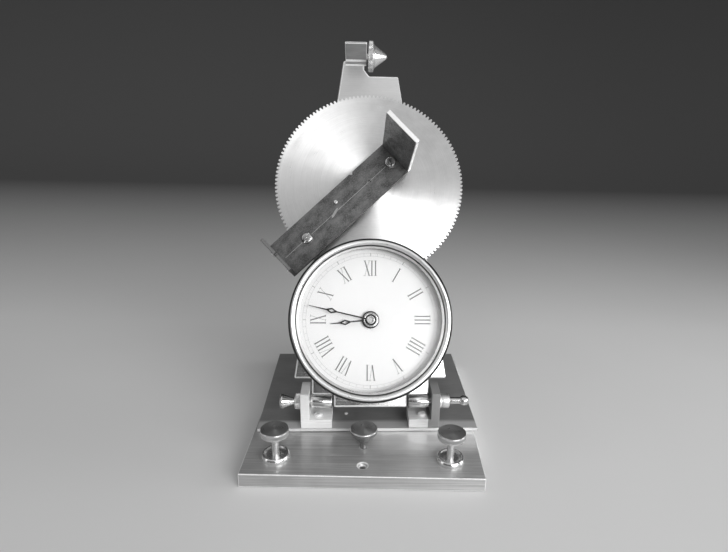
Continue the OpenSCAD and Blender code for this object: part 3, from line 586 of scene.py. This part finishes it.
# Nodes, their material, the width of their rounded edge, and that edge's own material
for names, key, bevel, rim in (
        (("base_slab",), "slab", 0.35, "filed"),
        (("carrier_plate",), "plate", 0.8, "filed"),
        (("bracket_left",), "bracket", 0.25, None),
        (("bracket_right",), "shaded_upright", 0.25, None),
        (("top_lug",), "lug", 0.3, "filed"),
        (("hinge_barrel",), "hinge", 0.25, None),
        (("pivot_screw_left", "pivot_screw_right"), "hinge", 0.15, None),
        (("turntable_plate",), "table", 0.2, None),
        (("turntable_pivot", "thrust_washer", "wheel_stud", "stud_washer", "stud_screw"),
         "grey", 0.15, None),
        # The bar's rounded edge is painted near-black as a shadow line
        (("alidade_bar",), "bar", 0.35, "dark"),
        (("head_vane",), "head", 0.25, "filed"),
        (("tail_vane",), "tail", 0.2, None),
        (("alidade_spacers", "drum_pillars"), "grey", 0.2, None),
        (("alidade_pin",), "bright", 0.2, None),
        (("drum_case", "case_back"), "drum", 0.2, None),
        (("bezel",), "bezel", 0.0, None),
        (("glass",), "glass", 0.0, None),
        (("dial",), "enamel", 0.0, None),
        (("hand_nut",), "arbor", 0.2, None),
        (("day_wheel",), "wheel", 0.0, None),
        (("winding_key",), "screw", 0.3, None),
        (("winding_arbor", "center_arbor", "cannon_pinion", "takeoff_arbor", "mainspring"),
         "arbor", 0.0, None),
        (("movement_spacers", "train_posts", "train_screws", "balance"), "arbor", 0.1, None),
        (("rear_train_plate", "front_train_plate", "barrel", "barrel_cover", "center_wheel",
          "drive_wheel", "minute_wheel", "hour_wheel", "takeoff_wheel", "escapement_platform"),
         "brass", 0.0, None)):
    for name in names:
        dress(name, key, bevel, rim)


# New pieces
SHARP = radians(35)
# Radius (mm) below which a point of a profile lies on the axis
ON_AXIS = 1e-6
# A rounded corner takes at most this part, one in so many, of the sides beside it
CORNER_SHARE = 2.2


def face_out(work):
    """Turns the faces of a worked shape outwards."""
    bmesh.ops.recalc_face_normals(work, faces=work.faces)


def as_mesh(name, work):
    """A smooth mesh of a worked shape."""
    mesh = bpy.data.meshes.new(name)
    work.to_mesh(mesh)
    work.free()
    mesh.polygons.foreach_set("use_smooth", [True] * len(mesh.polygons))
    return mesh


def piece(name, work, keys, place, body, slot, *replaced, faced=False):
    """A worked shape as a piece of the part; faced says that its faces look outwards already."""
    if not faced:
        face_out(work)
    mesh = as_mesh(name, work)
    mesh.set_sharp_from_angle(angle=SHARP)
    for key in keys.split():
        mesh.materials.append(M[key])
    made = bpy.data.objects.new(name, mesh)
    bpy.context.scene.collection.objects.link(made)
    made.matrix_world = place
    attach(made, body)
    if replaced:
        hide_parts(*replaced)


def lathe(work, profile, steps=96, place=HERE, closed=False, knurl=0.0):
    """Turns a profile of (radius, height[, knurled]) in mm; knurled rows zigzag, in a second material."""
    rows, rough = [], []
    for point in profile:
        radius, height = point[0], point[1]
        rough.append(knurl > 0 and len(point) > 2)
        if radius < ON_AXIS:
            rows.append([work.verts.new(place @ (Vector((0, 0, height)) * MM))])
            continue
        row = []
        for j in range(steps):
            deep = knurl * (j % 2) if len(point) > 2 else 0
            a = 2 * pi * j / steps
            spot = Vector(((radius - deep) * cos(a), (radius - deep) * sin(a), height))
            row.append(work.verts.new(place @ (spot * MM)))
        rows.append(row)
    count = len(rows) - (0 if closed else 1)
    for i in range(count):
        low, high = rows[i], rows[(i + 1) % len(rows)]
        band = int(rough[i] and rough[(i + 1) % len(rows)])
        for j in range(steps):
            k = (j + 1) % steps
            corners = [low[j % len(low)], low[k % len(low)], high[k % len(high)], high[j % len(high)]]
            work.faces.new(list(dict.fromkeys(corners))).material_index = band


def soft(points, reach=0.25, steps=3):
    """Rounds the corners of a profile; a point with a third value keeps its corner."""
    made = [points[0]]
    for before_it, here, after_it in zip(points, points[1:], points[2:]):
        if len(here) > 2 or here[0] < ON_AXIS:
            made.append(here)
            continue
        b, h, a = Vector(before_it[:2]), Vector(here), Vector(after_it[:2])
        first = h + (b - h).normalized() * min(reach, (b - h).length / CORNER_SHARE)
        last = h + (a - h).normalized() * min(reach, (a - h).length / CORNER_SHARE)
        for i in range(steps + 1):
            t = i / steps
            made.append(tuple(first * (1 - t) ** 2 + h * 2 * t * (1 - t) + last * t * t))
    return made + [points[-1]]


# Thumbscrews of the slab; LAND is the plain part of a rim on each side of its knurl
HEAD_R = 6.2
HOLLOW = [(0, -0.12), (3.0, -0.1), (4.8, 0)]
LAND = 0.8
KNURL_PROUD = 0.02
SHANK_R = 1.6
TIP_GAP = 0.3
LEVEL_HEAD = {"height": 14.7, "rim": 3.0, "cone": 2.0}
HOLD_HEAD = {"height": 10.1, "rim": 2.0, "cone": 6.0}


def thumbscrew(name, x, y, body, node, keys, height, rim, cone):
    """Disc head with a fine knurled rim, coned below, on a shank."""
    length = BASE_T + height - TIP_GAP
    edge = HEAD_R - KNURL_PROUD
    knurled = [(HEAD_R, -LAND, 1), (HEAD_R, LAND - rim, 1)]
    top = soft(HOLLOW + [(edge, 0), (edge, -LAND)], reach=0.7, steps=5)
    under = soft([(edge, LAND - rim), (edge - 0.1, -rim), (SHANK_R, -rim - cone),
                  (SHANK_R, -length + 0.6), (SHANK_R - 0.5, -length), (0, -length)], reach=0.4)
    work = bmesh.new()
    lathe(work, top + knurled + under, steps=184, knurl=0.14)
    piece(name, work, keys, shift(x, y, BASE_T + height), body, "turned", node)


for side, word in ((-1, "left"), (1, "right")):
    thumbscrew("level_knob_" + word, side * LEVEL_X, LEVEL_Y, "levelling_" + word,
               "level_screw_" + word, "knob ridge", **LEVEL_HEAD)
# The hold-down's head: rim and cone painted dark as shade under the drum
thumbscrew("hold_down_knob", 0, HOLD_Y, "hold_down", "hold_down_screw", "tarnish knurl", **HOLD_HEAD)

# Flanged bushes under the levelling screws
FLANGE_R = 6.4
FLANGE_H = 2.6
FLANGE_TOP = BASE_T + FLANGE_H
BUSH_R = 3.0
BUSH_BORE = 1.65
work = bmesh.new()
for side in (-1, 1):
    lathe(work, soft([
        (BUSH_BORE, 0), (BUSH_R, 0, 0), (BUSH_R, BASE_T, 0), (FLANGE_R - 0.25, BASE_T, 0),
        (FLANGE_R, BASE_T + FLANGE_H / 2), (FLANGE_R - 0.7, FLANGE_TOP),
        (FLANGE_R - 1.4, FLANGE_TOP - 0.1), (FLANGE_R - 2.0, FLANGE_TOP - 0.7),
        (BUSH_R, FLANGE_TOP - 0.95), (BUSH_BORE, FLANGE_TOP - 0.9)], reach=0.6, steps=5),
        place=shift(side * LEVEL_X, LEVEL_Y, 0), closed=True)
piece("bush_flanges", work, "turned", HERE, "base", "turned", "level_bushes")

# Nuts on the pivot screws: a knurled one at the left, a grooved collar at the right
NUT_X = 32.9
NUT_BORE = 1.75
NUT_R = 3.75
NUT_T = 3.1
NUT_END = NUT_X + NUT_T
work = bmesh.new()
lathe(work, soft([(NUT_BORE, NUT_X), (NUT_R - 0.25, NUT_X), (NUT_R - 0.05, NUT_X + 0.5)], reach=0.2)
      + [(NUT_R, NUT_X + 0.55, 1), (NUT_R, NUT_END - 0.55, 1)]
      + soft([(NUT_R - 0.05, NUT_END - 0.5), (NUT_R - 0.25, NUT_END), (NUT_BORE, NUT_END)], reach=0.2),
      steps=64, closed=True, knurl=0.3)
piece("knurled_nut_left", work, "satin bright", on_hinge(-1), "turntable", "turned", "lock_nut_left")

COLLAR_R = 3.55
COLLAR_T = 5.2
COLLAR_END = NUT_X + COLLAR_T
COLLAR_GROOVE_R = 3.25
work = bmesh.new()
lathe(work, soft([
    (NUT_BORE, NUT_X), (COLLAR_R - 0.05, NUT_X), (COLLAR_R, NUT_X + 0.5), (COLLAR_R, NUT_X + 1.1),
    (COLLAR_GROOVE_R, NUT_X + 1.3), (COLLAR_GROOVE_R, NUT_X + 1.6), (COLLAR_R, NUT_X + 1.8),
    (COLLAR_R, COLLAR_END - 0.5), (COLLAR_R - 0.55, COLLAR_END), (NUT_BORE, COLLAR_END)],
    reach=0.16), closed=True)
piece("collar_right", work, "satin", on_hinge(1), "turntable", "turned", "collar_nut_right")

# Thumbscrew of the lug: a knurled disc and a cone on a screw that lies across the plate
LUG_BORE_U = 175.0
LUG_BORE_N = 1.0
LUG_BORE = ON_PLATE @ shift(0, LUG_BORE_U, LUG_BORE_N) @ turn(pi / 2, "Y")
LUG_SCREW_R = 1.5
LUG_SCREW_TIP = -11.4
DISC_R = 7.6
DISC_X = -0.8
DISC_T = 2.9
DISC_END = DISC_X + DISC_T
CONE_R = 6.0
CONE_L = 6.9
CONE_END = DISC_END + CONE_L
work = bmesh.new()
lathe(work, [(0, LUG_SCREW_TIP), (LUG_SCREW_R - 0.4, LUG_SCREW_TIP), (LUG_SCREW_R, LUG_SCREW_TIP + 0.4)]
      + soft([(LUG_SCREW_R, DISC_X), (DISC_R - 0.3, DISC_X), (DISC_R - KNURL_PROUD, DISC_X + 0.5)])
      + [(DISC_R, DISC_X + 0.55, 1), (DISC_R, DISC_END - 0.55, 1)]
      + soft([(DISC_R - KNURL_PROUD, DISC_END - 0.5), (DISC_R - 0.3, DISC_END), (CONE_R + 0.2, DISC_END),
              (CONE_R - 0.4, DISC_END + 0.6), (1.3, CONE_END - 0.5), (0.5, CONE_END), (0, CONE_END)],
             reach=0.45),
      steps=168, knurl=0.16)
piece("lug_knob", work, "polish bright", LUG_BORE, "top_clamp", "turned", "top_thumbscrew")

# Foot of the lug: a grey strip with a bright chamfer, over the plate's own filed edge
LUG_LEFT = -12.3
LUG_RIGHT = -1.7
SUNK = 0.05
work = bmesh.new()
# Each strip: its two edges from the plate's top, how proud it is, how far it leans out, its material
for low, high, proud, lean, band in ((-1.9, -0.75, 0.3, 0.0, 0), (-0.75, 0.0, 0.3, 0.75, 1),
                                     (-2.9, -2.05, 0.12, 0.0, 1)):
    profile = [(low, -SUNK), (low, proud), (high, proud + lean), (high, -SUNK)]
    left, right = [[work.verts.new(Vector((x, PLATE_TOP + u, PLATE_FACE + n)) * MM) for u, n in profile]
                   for x in (LUG_LEFT, LUG_RIGHT)]
    faces = [work.faces.new(left), work.faces.new(list(reversed(right)))]
    faces += [work.faces.new((left[i], right[i], right[(i + 1) % 4], left[(i + 1) % 4]))
              for i in range(4)]
    for face in faces:
        face.material_index = band
piece("lug_foot", work, "lug filed", ON_PLATE, "carrier", "nickel")

# Stop pin of the turntable
STOP_X = -10.8
STOP_Y = -10.6
STOP_R = 0.9
STOP_H = 0.6
work = bmesh.new()
lathe(work, soft([(0, STOP_H), (STOP_R - 0.4, STOP_H), (STOP_R, STOP_H - 0.3), (STOP_R, -SUNK),
                  (0, -SUNK)], reach=0.3), steps=32)
piece("table_stop", work, "filed", AZIMUTH @ shift(STOP_X, STOP_Y, TABLE_TOP), "turntable", "screws")

# Slotted screws; a slot takes this share of the head's height
SLOT_SHARE = 0.55


def cut(work, spot, facing):
    """Takes away what lies past a plane through a spot (mm)."""
    bmesh.ops.bisect_plane(work, geom=work.verts[:] + work.edges[:] + work.faces[:],
                           plane_co=Vector(spot) * MM, plane_no=facing, clear_outer=True)


def slotted(work, place, head_r, head_t, shank_r, shank_end, slot):
    """Round-head screw with a slot, its head standing on z = 0 of the frame."""
    crown = soft([(0, head_t), (head_r - 0.55, head_t), (head_r, head_t - 0.5), (head_r, 0.02),
                  (head_r - 0.1, 0), (shank_r, 0, 0), (shank_r, shank_end), (0, shank_end)], reach=0.3)
    whole = bmesh.new()
    lathe(whole, crown, steps=48)
    # The screw is made of the two sides of its slot and of the core below the slot's floor
    first, second, core = whole.copy(), whole.copy(), whole.copy()
    whole.free()
    for wall, side in ((-1, first), (1, second)):
        cut(side, (0, wall * slot / 2, 0), (0, -wall, 0))
        cut(core, (0, wall * slot / 2, 0), (0, wall, 0))
    cut(core, (0, 0, head_t - head_t * SLOT_SHARE), Z_AXIS)
    for made in (first, second, core):
        bmesh.ops.holes_fill(made, edges=[e for e in made.edges if e.is_boundary])
        face_out(made)
        bmesh.ops.transform(made, matrix=place, verts=made.verts)
        shell = bpy.data.meshes.new("shell")
        made.to_mesh(shell)
        made.free()
        work.from_mesh(shell)
        bpy.data.meshes.remove(shell)


def screws(name, places, body, node, head_r, head_t, shank_r, shank_end, slot=0.55, key="bright"):
    work = bmesh.new()
    for place in places:
        slotted(work, place, head_r, head_t, shank_r, shank_end, slot)
    piece(name, work, key, HERE, body, "screws", node, faced=True)


# Places of the screws; each slot stands at an angle of its own
FOOT_X = 24.9
FOOT_Y = -1.8
FOOT_T = 4.5
FOOT_PLACES = [ON_TABLE @ shift(side * FOOT_X, FOOT_Y, FOOT_T) @ turn(slot_turn, "Z")
               for side, slot_turn in ((-1, 0.9), (1, 0.35))]
BAR_PLACES = [ALONG_BAR @ shift(s, 0, BAR_TOP) @ turn(slot_turn, "Z")
              for s, slot_turn in ((13.6, 1.1), (-40.8, 0.4))]
VANE_SCREW_W = 5.5
VANE_SCREW_N = BAR_TOP - BAR_T / 2
HEAD_VANE_T = 2.0
TAIL_VANE_T = 1.5
VANE_PLACES = [ALONG_BAR @ shift(s + way * vane_t, side * VANE_SCREW_W, VANE_SCREW_N)
               @ turn(way * pi / 2, "Y") @ turn(slot_turn + s, "Z")
               for side, slot_turn in ((-1, 0.5), (1, 2.0))
               for s, way, vane_t in ((HEAD_REACH, 1, HEAD_VANE_T), (-TAIL_REACH, -1, TAIL_VANE_T))]
PILLAR_REACH = 22
DRUM_PLACES = [AT_CLOCK @ turn(radians(a), "Z") @ shift(PILLAR_REACH, 0, -PLATE_FACE) @ turn(pi, "X")
               @ turn(a, "Z") for a in (30, 150, 270)]
screws("slotted_foot_screws", FOOT_PLACES, "turntable", "bracket_screws",
       head_r=2.1, head_t=1.2, shank_r=1.0, shank_end=-6.0, key="filed")
screws("slotted_bar_screws", BAR_PLACES, "wheel", "alidade_screws",
       head_r=2.6, head_t=1.5, shank_r=1.2, shank_end=-8.0, slot=0.7, key="screw")
screws("slotted_vane_screws", VANE_PLACES, "wheel", "vane_screws",
       head_r=1.3, head_t=0.8, shank_r=0.7, shank_end=-5.4, slot=0.35)
screws("slotted_drum_screws", DRUM_PLACES, "carrier", "drum_screws",
       head_r=2.5, head_t=1.5, shank_r=1.2, shank_end=-18.3, slot=0.6)


# Dial print
def prism(work, outline, low, high, hole=None):
    """Closed plate between two levels from an outline (mm), with an opening if given."""
    edges = []
    for loop in [outline] + ([hole] if hole else []):
        ring = [work.verts.new(Vector((x, y, low)) * MM) for x, y in loop]
        edges += [work.edges.new((ring[i], ring[(i + 1) % len(ring)])) for i in range(len(ring))]
    made = bmesh.ops.triangle_fill(work, edges=edges, use_beauty=True)
    floor = [g for g in made["geom"] if isinstance(g, bmesh.types.BMFace)]
    lifted = bmesh.ops.extrude_face_region(work, geom=floor, use_keep_orig=True)
    tops = [g for g in lifted["geom"] if isinstance(g, bmesh.types.BMVert)]
    bmesh.ops.translate(work, verts=tops, vec=Vector((0, 0, high - low)) * MM)


NUMERALS = ("XII", "I", "II", "III", "IIII", "V", "VI", "VII", "VIII", "IX", "X", "XI")
PRINT = DIAL_TOP + 0.01
INNER = 18.7
OUTER = 25.1
STEM = 0.46
HAIR = 0.12
STEM_LIFT = 0.03
HAIR_LIFT = 0.02
SERIF_LIFT = 0.025
SERIF_HALF = 0.55
LETTER_GAP = 0.35
LETTER_W = {"I": 1.55, "V": 2.6, "X": 2.6}
# Strokes of a letter, each from one side and radius to another: -1 is the left side, 0 the middle
STEMS = {"I": (0, INNER, 0, OUTER), "V": (-1, OUTER, 0, INNER), "X": (-1, OUTER, 1, INNER)}
HAIRS = {"V": (1, OUTER, 0, INNER), "X": (1, OUTER, -1, INNER)}
SERIFS = {
    "I": ((0, INNER), (0, OUTER)),
    "V": ((-1, OUTER), (1, OUTER)),
    "X": ((-1, INNER), (-1, OUTER), (1, INNER), (1, OUTER)),
}


def stroke(work, hour, a0, r0, a1, r1, width, lift):
    """A printed line between two points of a numeral's own axes: along the ring, and outwards."""
    first, last = Vector((a0, r0)), Vector((a1, r1))
    side = (last - first).normalized().orthogonal() * width / 2
    spin = Matrix.Rotation(-hour * pi / 6, 2)
    prism(work, [spin @ p for p in (first - side, last - side, last + side, first + side)],
          PRINT, PRINT + lift)


def numeral(work, hour, word):
    at = -sum(LETTER_W[c] for c in word) / 2
    for c in word:
        middle, half = at + LETTER_W[c] / 2, LETTER_W[c] / 2 - LETTER_GAP
        for lines, width, lift in ((STEMS, STEM, STEM_LIFT), (HAIRS, HAIR, HAIR_LIFT)):
            if c in lines:
                side0, r0, side1, r1 = lines[c]
                stroke(work, hour, middle + side0 * half, r0, middle + side1 * half, r1, width, lift)
        for side, r in SERIFS[c]:
            a = middle + side * half
            stroke(work, hour, a - SERIF_HALF, r, a + SERIF_HALF, r, HAIR, SERIF_LIFT)
        at += LETTER_W[c]


work = bmesh.new()
for hour, word in enumerate(NUMERALS):
    numeral(work, hour, word)
piece("dial_numerals", work, "ink", AT_CLOCK, "carrier", "hands")

TRACK_IN = 27.0
TRACK_OUT = 28.3
TRACK_LINE = 0.1
FIVE_MARK = 0.35
MINUTE_MARK = 0.11
work = bmesh.new()
for radius in (TRACK_IN, TRACK_OUT):
    lathe(work, [(radius, PRINT), (radius + TRACK_LINE, PRINT), (radius + TRACK_LINE, PRINT + HAIR_LIFT),
                 (radius, PRINT + HAIR_LIFT)], steps=180, closed=True)
for minute in range(60):
    wide = FIVE_MARK if minute % 5 == 0 else MINUTE_MARK
    stroke(work, minute / 5, 0, TRACK_IN, 0, TRACK_OUT, wide, STEM_LIFT)
piece("dial_minute_track", work, "track", AT_CLOCK, "carrier", "hands")

# Hands, with their angles in degrees round from XII
HOUR_SET = 264
MINUTE_SET = 6 * 47.15
BOSS_T = 0.4
BLADE_LOW = 0.02
BLADE_HIGH = 0.36
LOZENGE_SHARE = 0.63
LOZENGE_REACH = 2.3
LOZENGE_HALF = 1.15


def hand(name, length, boss, bore, low, angle, body, node):
    """Thin pointer with an open lozenge, on its boss."""
    work = bmesh.new()
    top = low + BOSS_T
    lathe(work, [(bore, low), (boss, low), (boss, low + 0.1), (boss - 0.45, top), (bore + 0.3, top),
                 (bore, low + 0.25)], closed=True)
    # The boss's flat top is bright
    for face in work.faces:
        face.material_index = int(face.calc_center_median().z / MM > top - 0.02)
    at, reach, swell = LOZENGE_SHARE * length, LOZENGE_REACH, LOZENGE_HALF
    blade = [(boss - 0.1, 0.3), (at - reach, 0.24), (at, swell), (at + reach, 0.26), (length, 0.1)]
    outline = blade + [(x, -y) for x, y in reversed(blade)]
    hole = [(at - 0.55 * reach, 0), (at, 0.5 * swell), (at + 0.55 * reach, 0), (at, -0.5 * swell)]
    prism(work, outline, low + BLADE_LOW, low + BLADE_HIGH, hole)
    place = AT_CLOCK @ turn(radians(90 - angle), "Z")
    piece(name, work, "hands arbor", place, body, "hands", node)


hand("hour_pointer", 16.8, boss=3.6, bore=1.9, low=40.2, angle=HOUR_SET, body="hour",
     node="hour_hand")
hand("minute_pointer", 26.4, boss=2.2, bore=1.3, low=41.2, angle=MINUTE_SET, body="center",
     node="minute_hand")

# Scribed centre line of the alidade, with a lighter oval spot beside its pin
LINE_HALF = 0.11
LINE_RUNS = ((-54.5, -43.6), (-38.0, 10.6))
LINE_LIFT = 0.02
OVAL_AT = Vector((-22.9, 0.0))
OVAL_L = 2.8
OVAL_W = 0.6
OVAL_TURN = Matrix.Rotation(radians(18), 2)
OVAL_LIFT = 0.015
OVAL_STEPS = 32
work = bmesh.new()
for near, far in LINE_RUNS:
    prism(work, [(near, -LINE_HALF), (far, -LINE_HALF), (far, LINE_HALF), (near, LINE_HALF)],
          BAR_TOP - SUNK, BAR_TOP + LINE_LIFT)
prism(work, [OVAL_AT + OVAL_TURN @ Vector((OVAL_L * cos(a), OVAL_W * sin(a)))
             for a in [2 * pi * i / OVAL_STEPS for i in range(OVAL_STEPS)]],
      BAR_TOP - SUNK, BAR_TOP + OVAL_LIFT)
piece("scribed_line", work, "line", ALONG_BAR, "wheel", "alidade")

# Stage, lamps and room (metres)
STAGE_HALF = 4.0
STAGE_NEAR = -3.0
STAGE_FAR = 1.6
STAGE_BEND = 0.8
STAGE_TOP = 3.5
STAGE_DROP = 0.0002
BEND_STEPS = 16
PALE_DEPTH = (0.12, 0.75)
BACK_TONE = 0.12
AIM = Vector((0, -0.01, 0.08))
LAMP_SPREAD = radians(80)
HIGH_UP = (0.42, 0.78)
IN_FRONT = (0.3, -0.3)
ROOM_BACK = 0.2
ROOM_FRONT = 0.07
SOFT_LIGHT = 0.8


def pale_stage():
    """Pale floor that sweeps up into a darker backdrop."""
    work = bmesh.new()
    foot = STAGE_FAR - STAGE_BEND
    path = [(STAGE_NEAR, 0.0), (foot, 0.0)]
    for i in range(1, BEND_STEPS + 1):
        a = pi / 2 * i / BEND_STEPS
        path.append((foot + STAGE_BEND * sin(a), STAGE_BEND - STAGE_BEND * cos(a)))
    path.append((STAGE_FAR, STAGE_TOP))
    rows = [[work.verts.new((x, y, z - STAGE_DROP)) for x in (-STAGE_HALF, STAGE_HALF)]
            for y, z in path]
    for low, high in zip(rows, rows[1:]):
        work.faces.new((low[0], low[1], high[1], high[0]))
    face_out(work)
    mesh = as_mesh("sweep", work)
    made, tree, shader = start("pale_sweep", Roughness=0.85, **{"Specular IOR Level": 0.2})
    cloud = noise(tree, local(tree, HERE, (220, 220, 220)))
    pale = blend(tree, span(tree, cloud, 0, 1), 0.7, 0.67)
    depth = put(tree, "SeparateXYZ", {0: put(tree, "TexCoord").outputs["Object"]}).outputs["Y"]
    tone = blend(tree, span(tree, depth, 0, 1, *PALE_DEPTH), pale, BACK_TONE)
    tree.links.new(tone, shader.inputs["Base Color"])
    mesh.materials.append(made)
    sweep = bpy.data.objects.new("sweep", mesh)
    bpy.context.scene.collection.objects.link(sweep)


def lamp(name, spot, width, height, power):
    data = bpy.data.lights.new(name, "AREA")
    data.shape = "RECTANGLE"
    data.size = width
    data.size_y = height
    data.energy = power
    data.spread = LAMP_SPREAD
    made = bpy.data.objects.new(name, data)
    bpy.context.scene.collection.objects.link(made)
    made.location = spot
    made.rotation_euler = (AIM - Vector(spot)).to_track_quat("-Z", "Y").to_euler()


def ramp(tree, value, begin, end):
    """From 0 to 1, smoothly, as a value goes from begin to end."""
    return put(tree, "MapRange", {"Value": value, "From Min": begin, "From Max": end},
               interpolation_type="SMOOTHSTEP").outputs[0]


def soft_world():
    """Dim grey room with one broad, soft light from the front, above."""
    world = bpy.data.worlds.new("room")
    bpy.context.scene.world = world
    world.use_nodes = True
    tree = world.node_tree
    tree.nodes.clear()
    way = put(tree, "SeparateXYZ", {0: put(tree, "TexCoord").outputs["Generated"]}).outputs
    high, front = ramp(tree, way["Z"], *HIGH_UP), ramp(tree, way["Y"], *IN_FRONT)
    room = blend(tree, front, ROOM_BACK, ROOM_FRONT)
    tone = blend(tree, calc(tree, "MULTIPLY", high, front), room, SOFT_LIGHT)
    back = put(tree, "Background", {"Color": tone, "Strength": 1.0}).outputs[0]
    put(tree, "OutputWorld", {0: back})


pale_stage()
soft_world()
lamp("key", (0.43, -0.67, 0.34), width=0.72, height=0.3, power=1.4)
lamp("side", (-0.6, -0.25, 0.3), width=0.2, height=0.5, power=0.1)
lamp("right", (0.66, -0.05, 0.2), width=0.3, height=0.3, power=0.3)

# Camera, fitted to the photograph: lens and middle in pixels, place in millimetres
WIDE = 728
HIGH = 552
FOCAL = 552.812
MIDDLE_X = 380.347
MIDDLE_Y = 271.857
PITCH = radians(17.864)
ROLL = radians(1.139)
SPOT = Vector((6.039, -251.171, 160.091)) * MM
SENSOR = 36.0
ahead = Vector((0, cos(PITCH), -sin(PITCH)))
level, upright = Vector((1, 0, 0)), Vector((0, sin(PITCH), cos(PITCH)))
right = level * cos(ROLL) + upright * sin(ROLL)
up = upright * cos(ROLL) - level * sin(ROLL)
lens = bpy.data.cameras.new("view")
lens.sensor_fit = "HORIZONTAL"
lens.sensor_width = SENSOR
lens.lens = FOCAL / WIDE * SENSOR
lens.shift_x = (WIDE / 2 - MIDDLE_X) / WIDE
lens.shift_y = (MIDDLE_Y - HIGH / 2) / WIDE
lens.clip_start = 0.01
lens.clip_end = 20
camera = bpy.data.objects.new("view", lens)
bpy.context.scene.collection.objects.link(camera)
camera.matrix_world = Matrix.Translation(SPOT) @ Matrix((right, up, -ahead)).transposed().to_4x4()
bpy.context.scene.camera = camera
bpy.context.scene.view_settings.view_transform = "Standard"
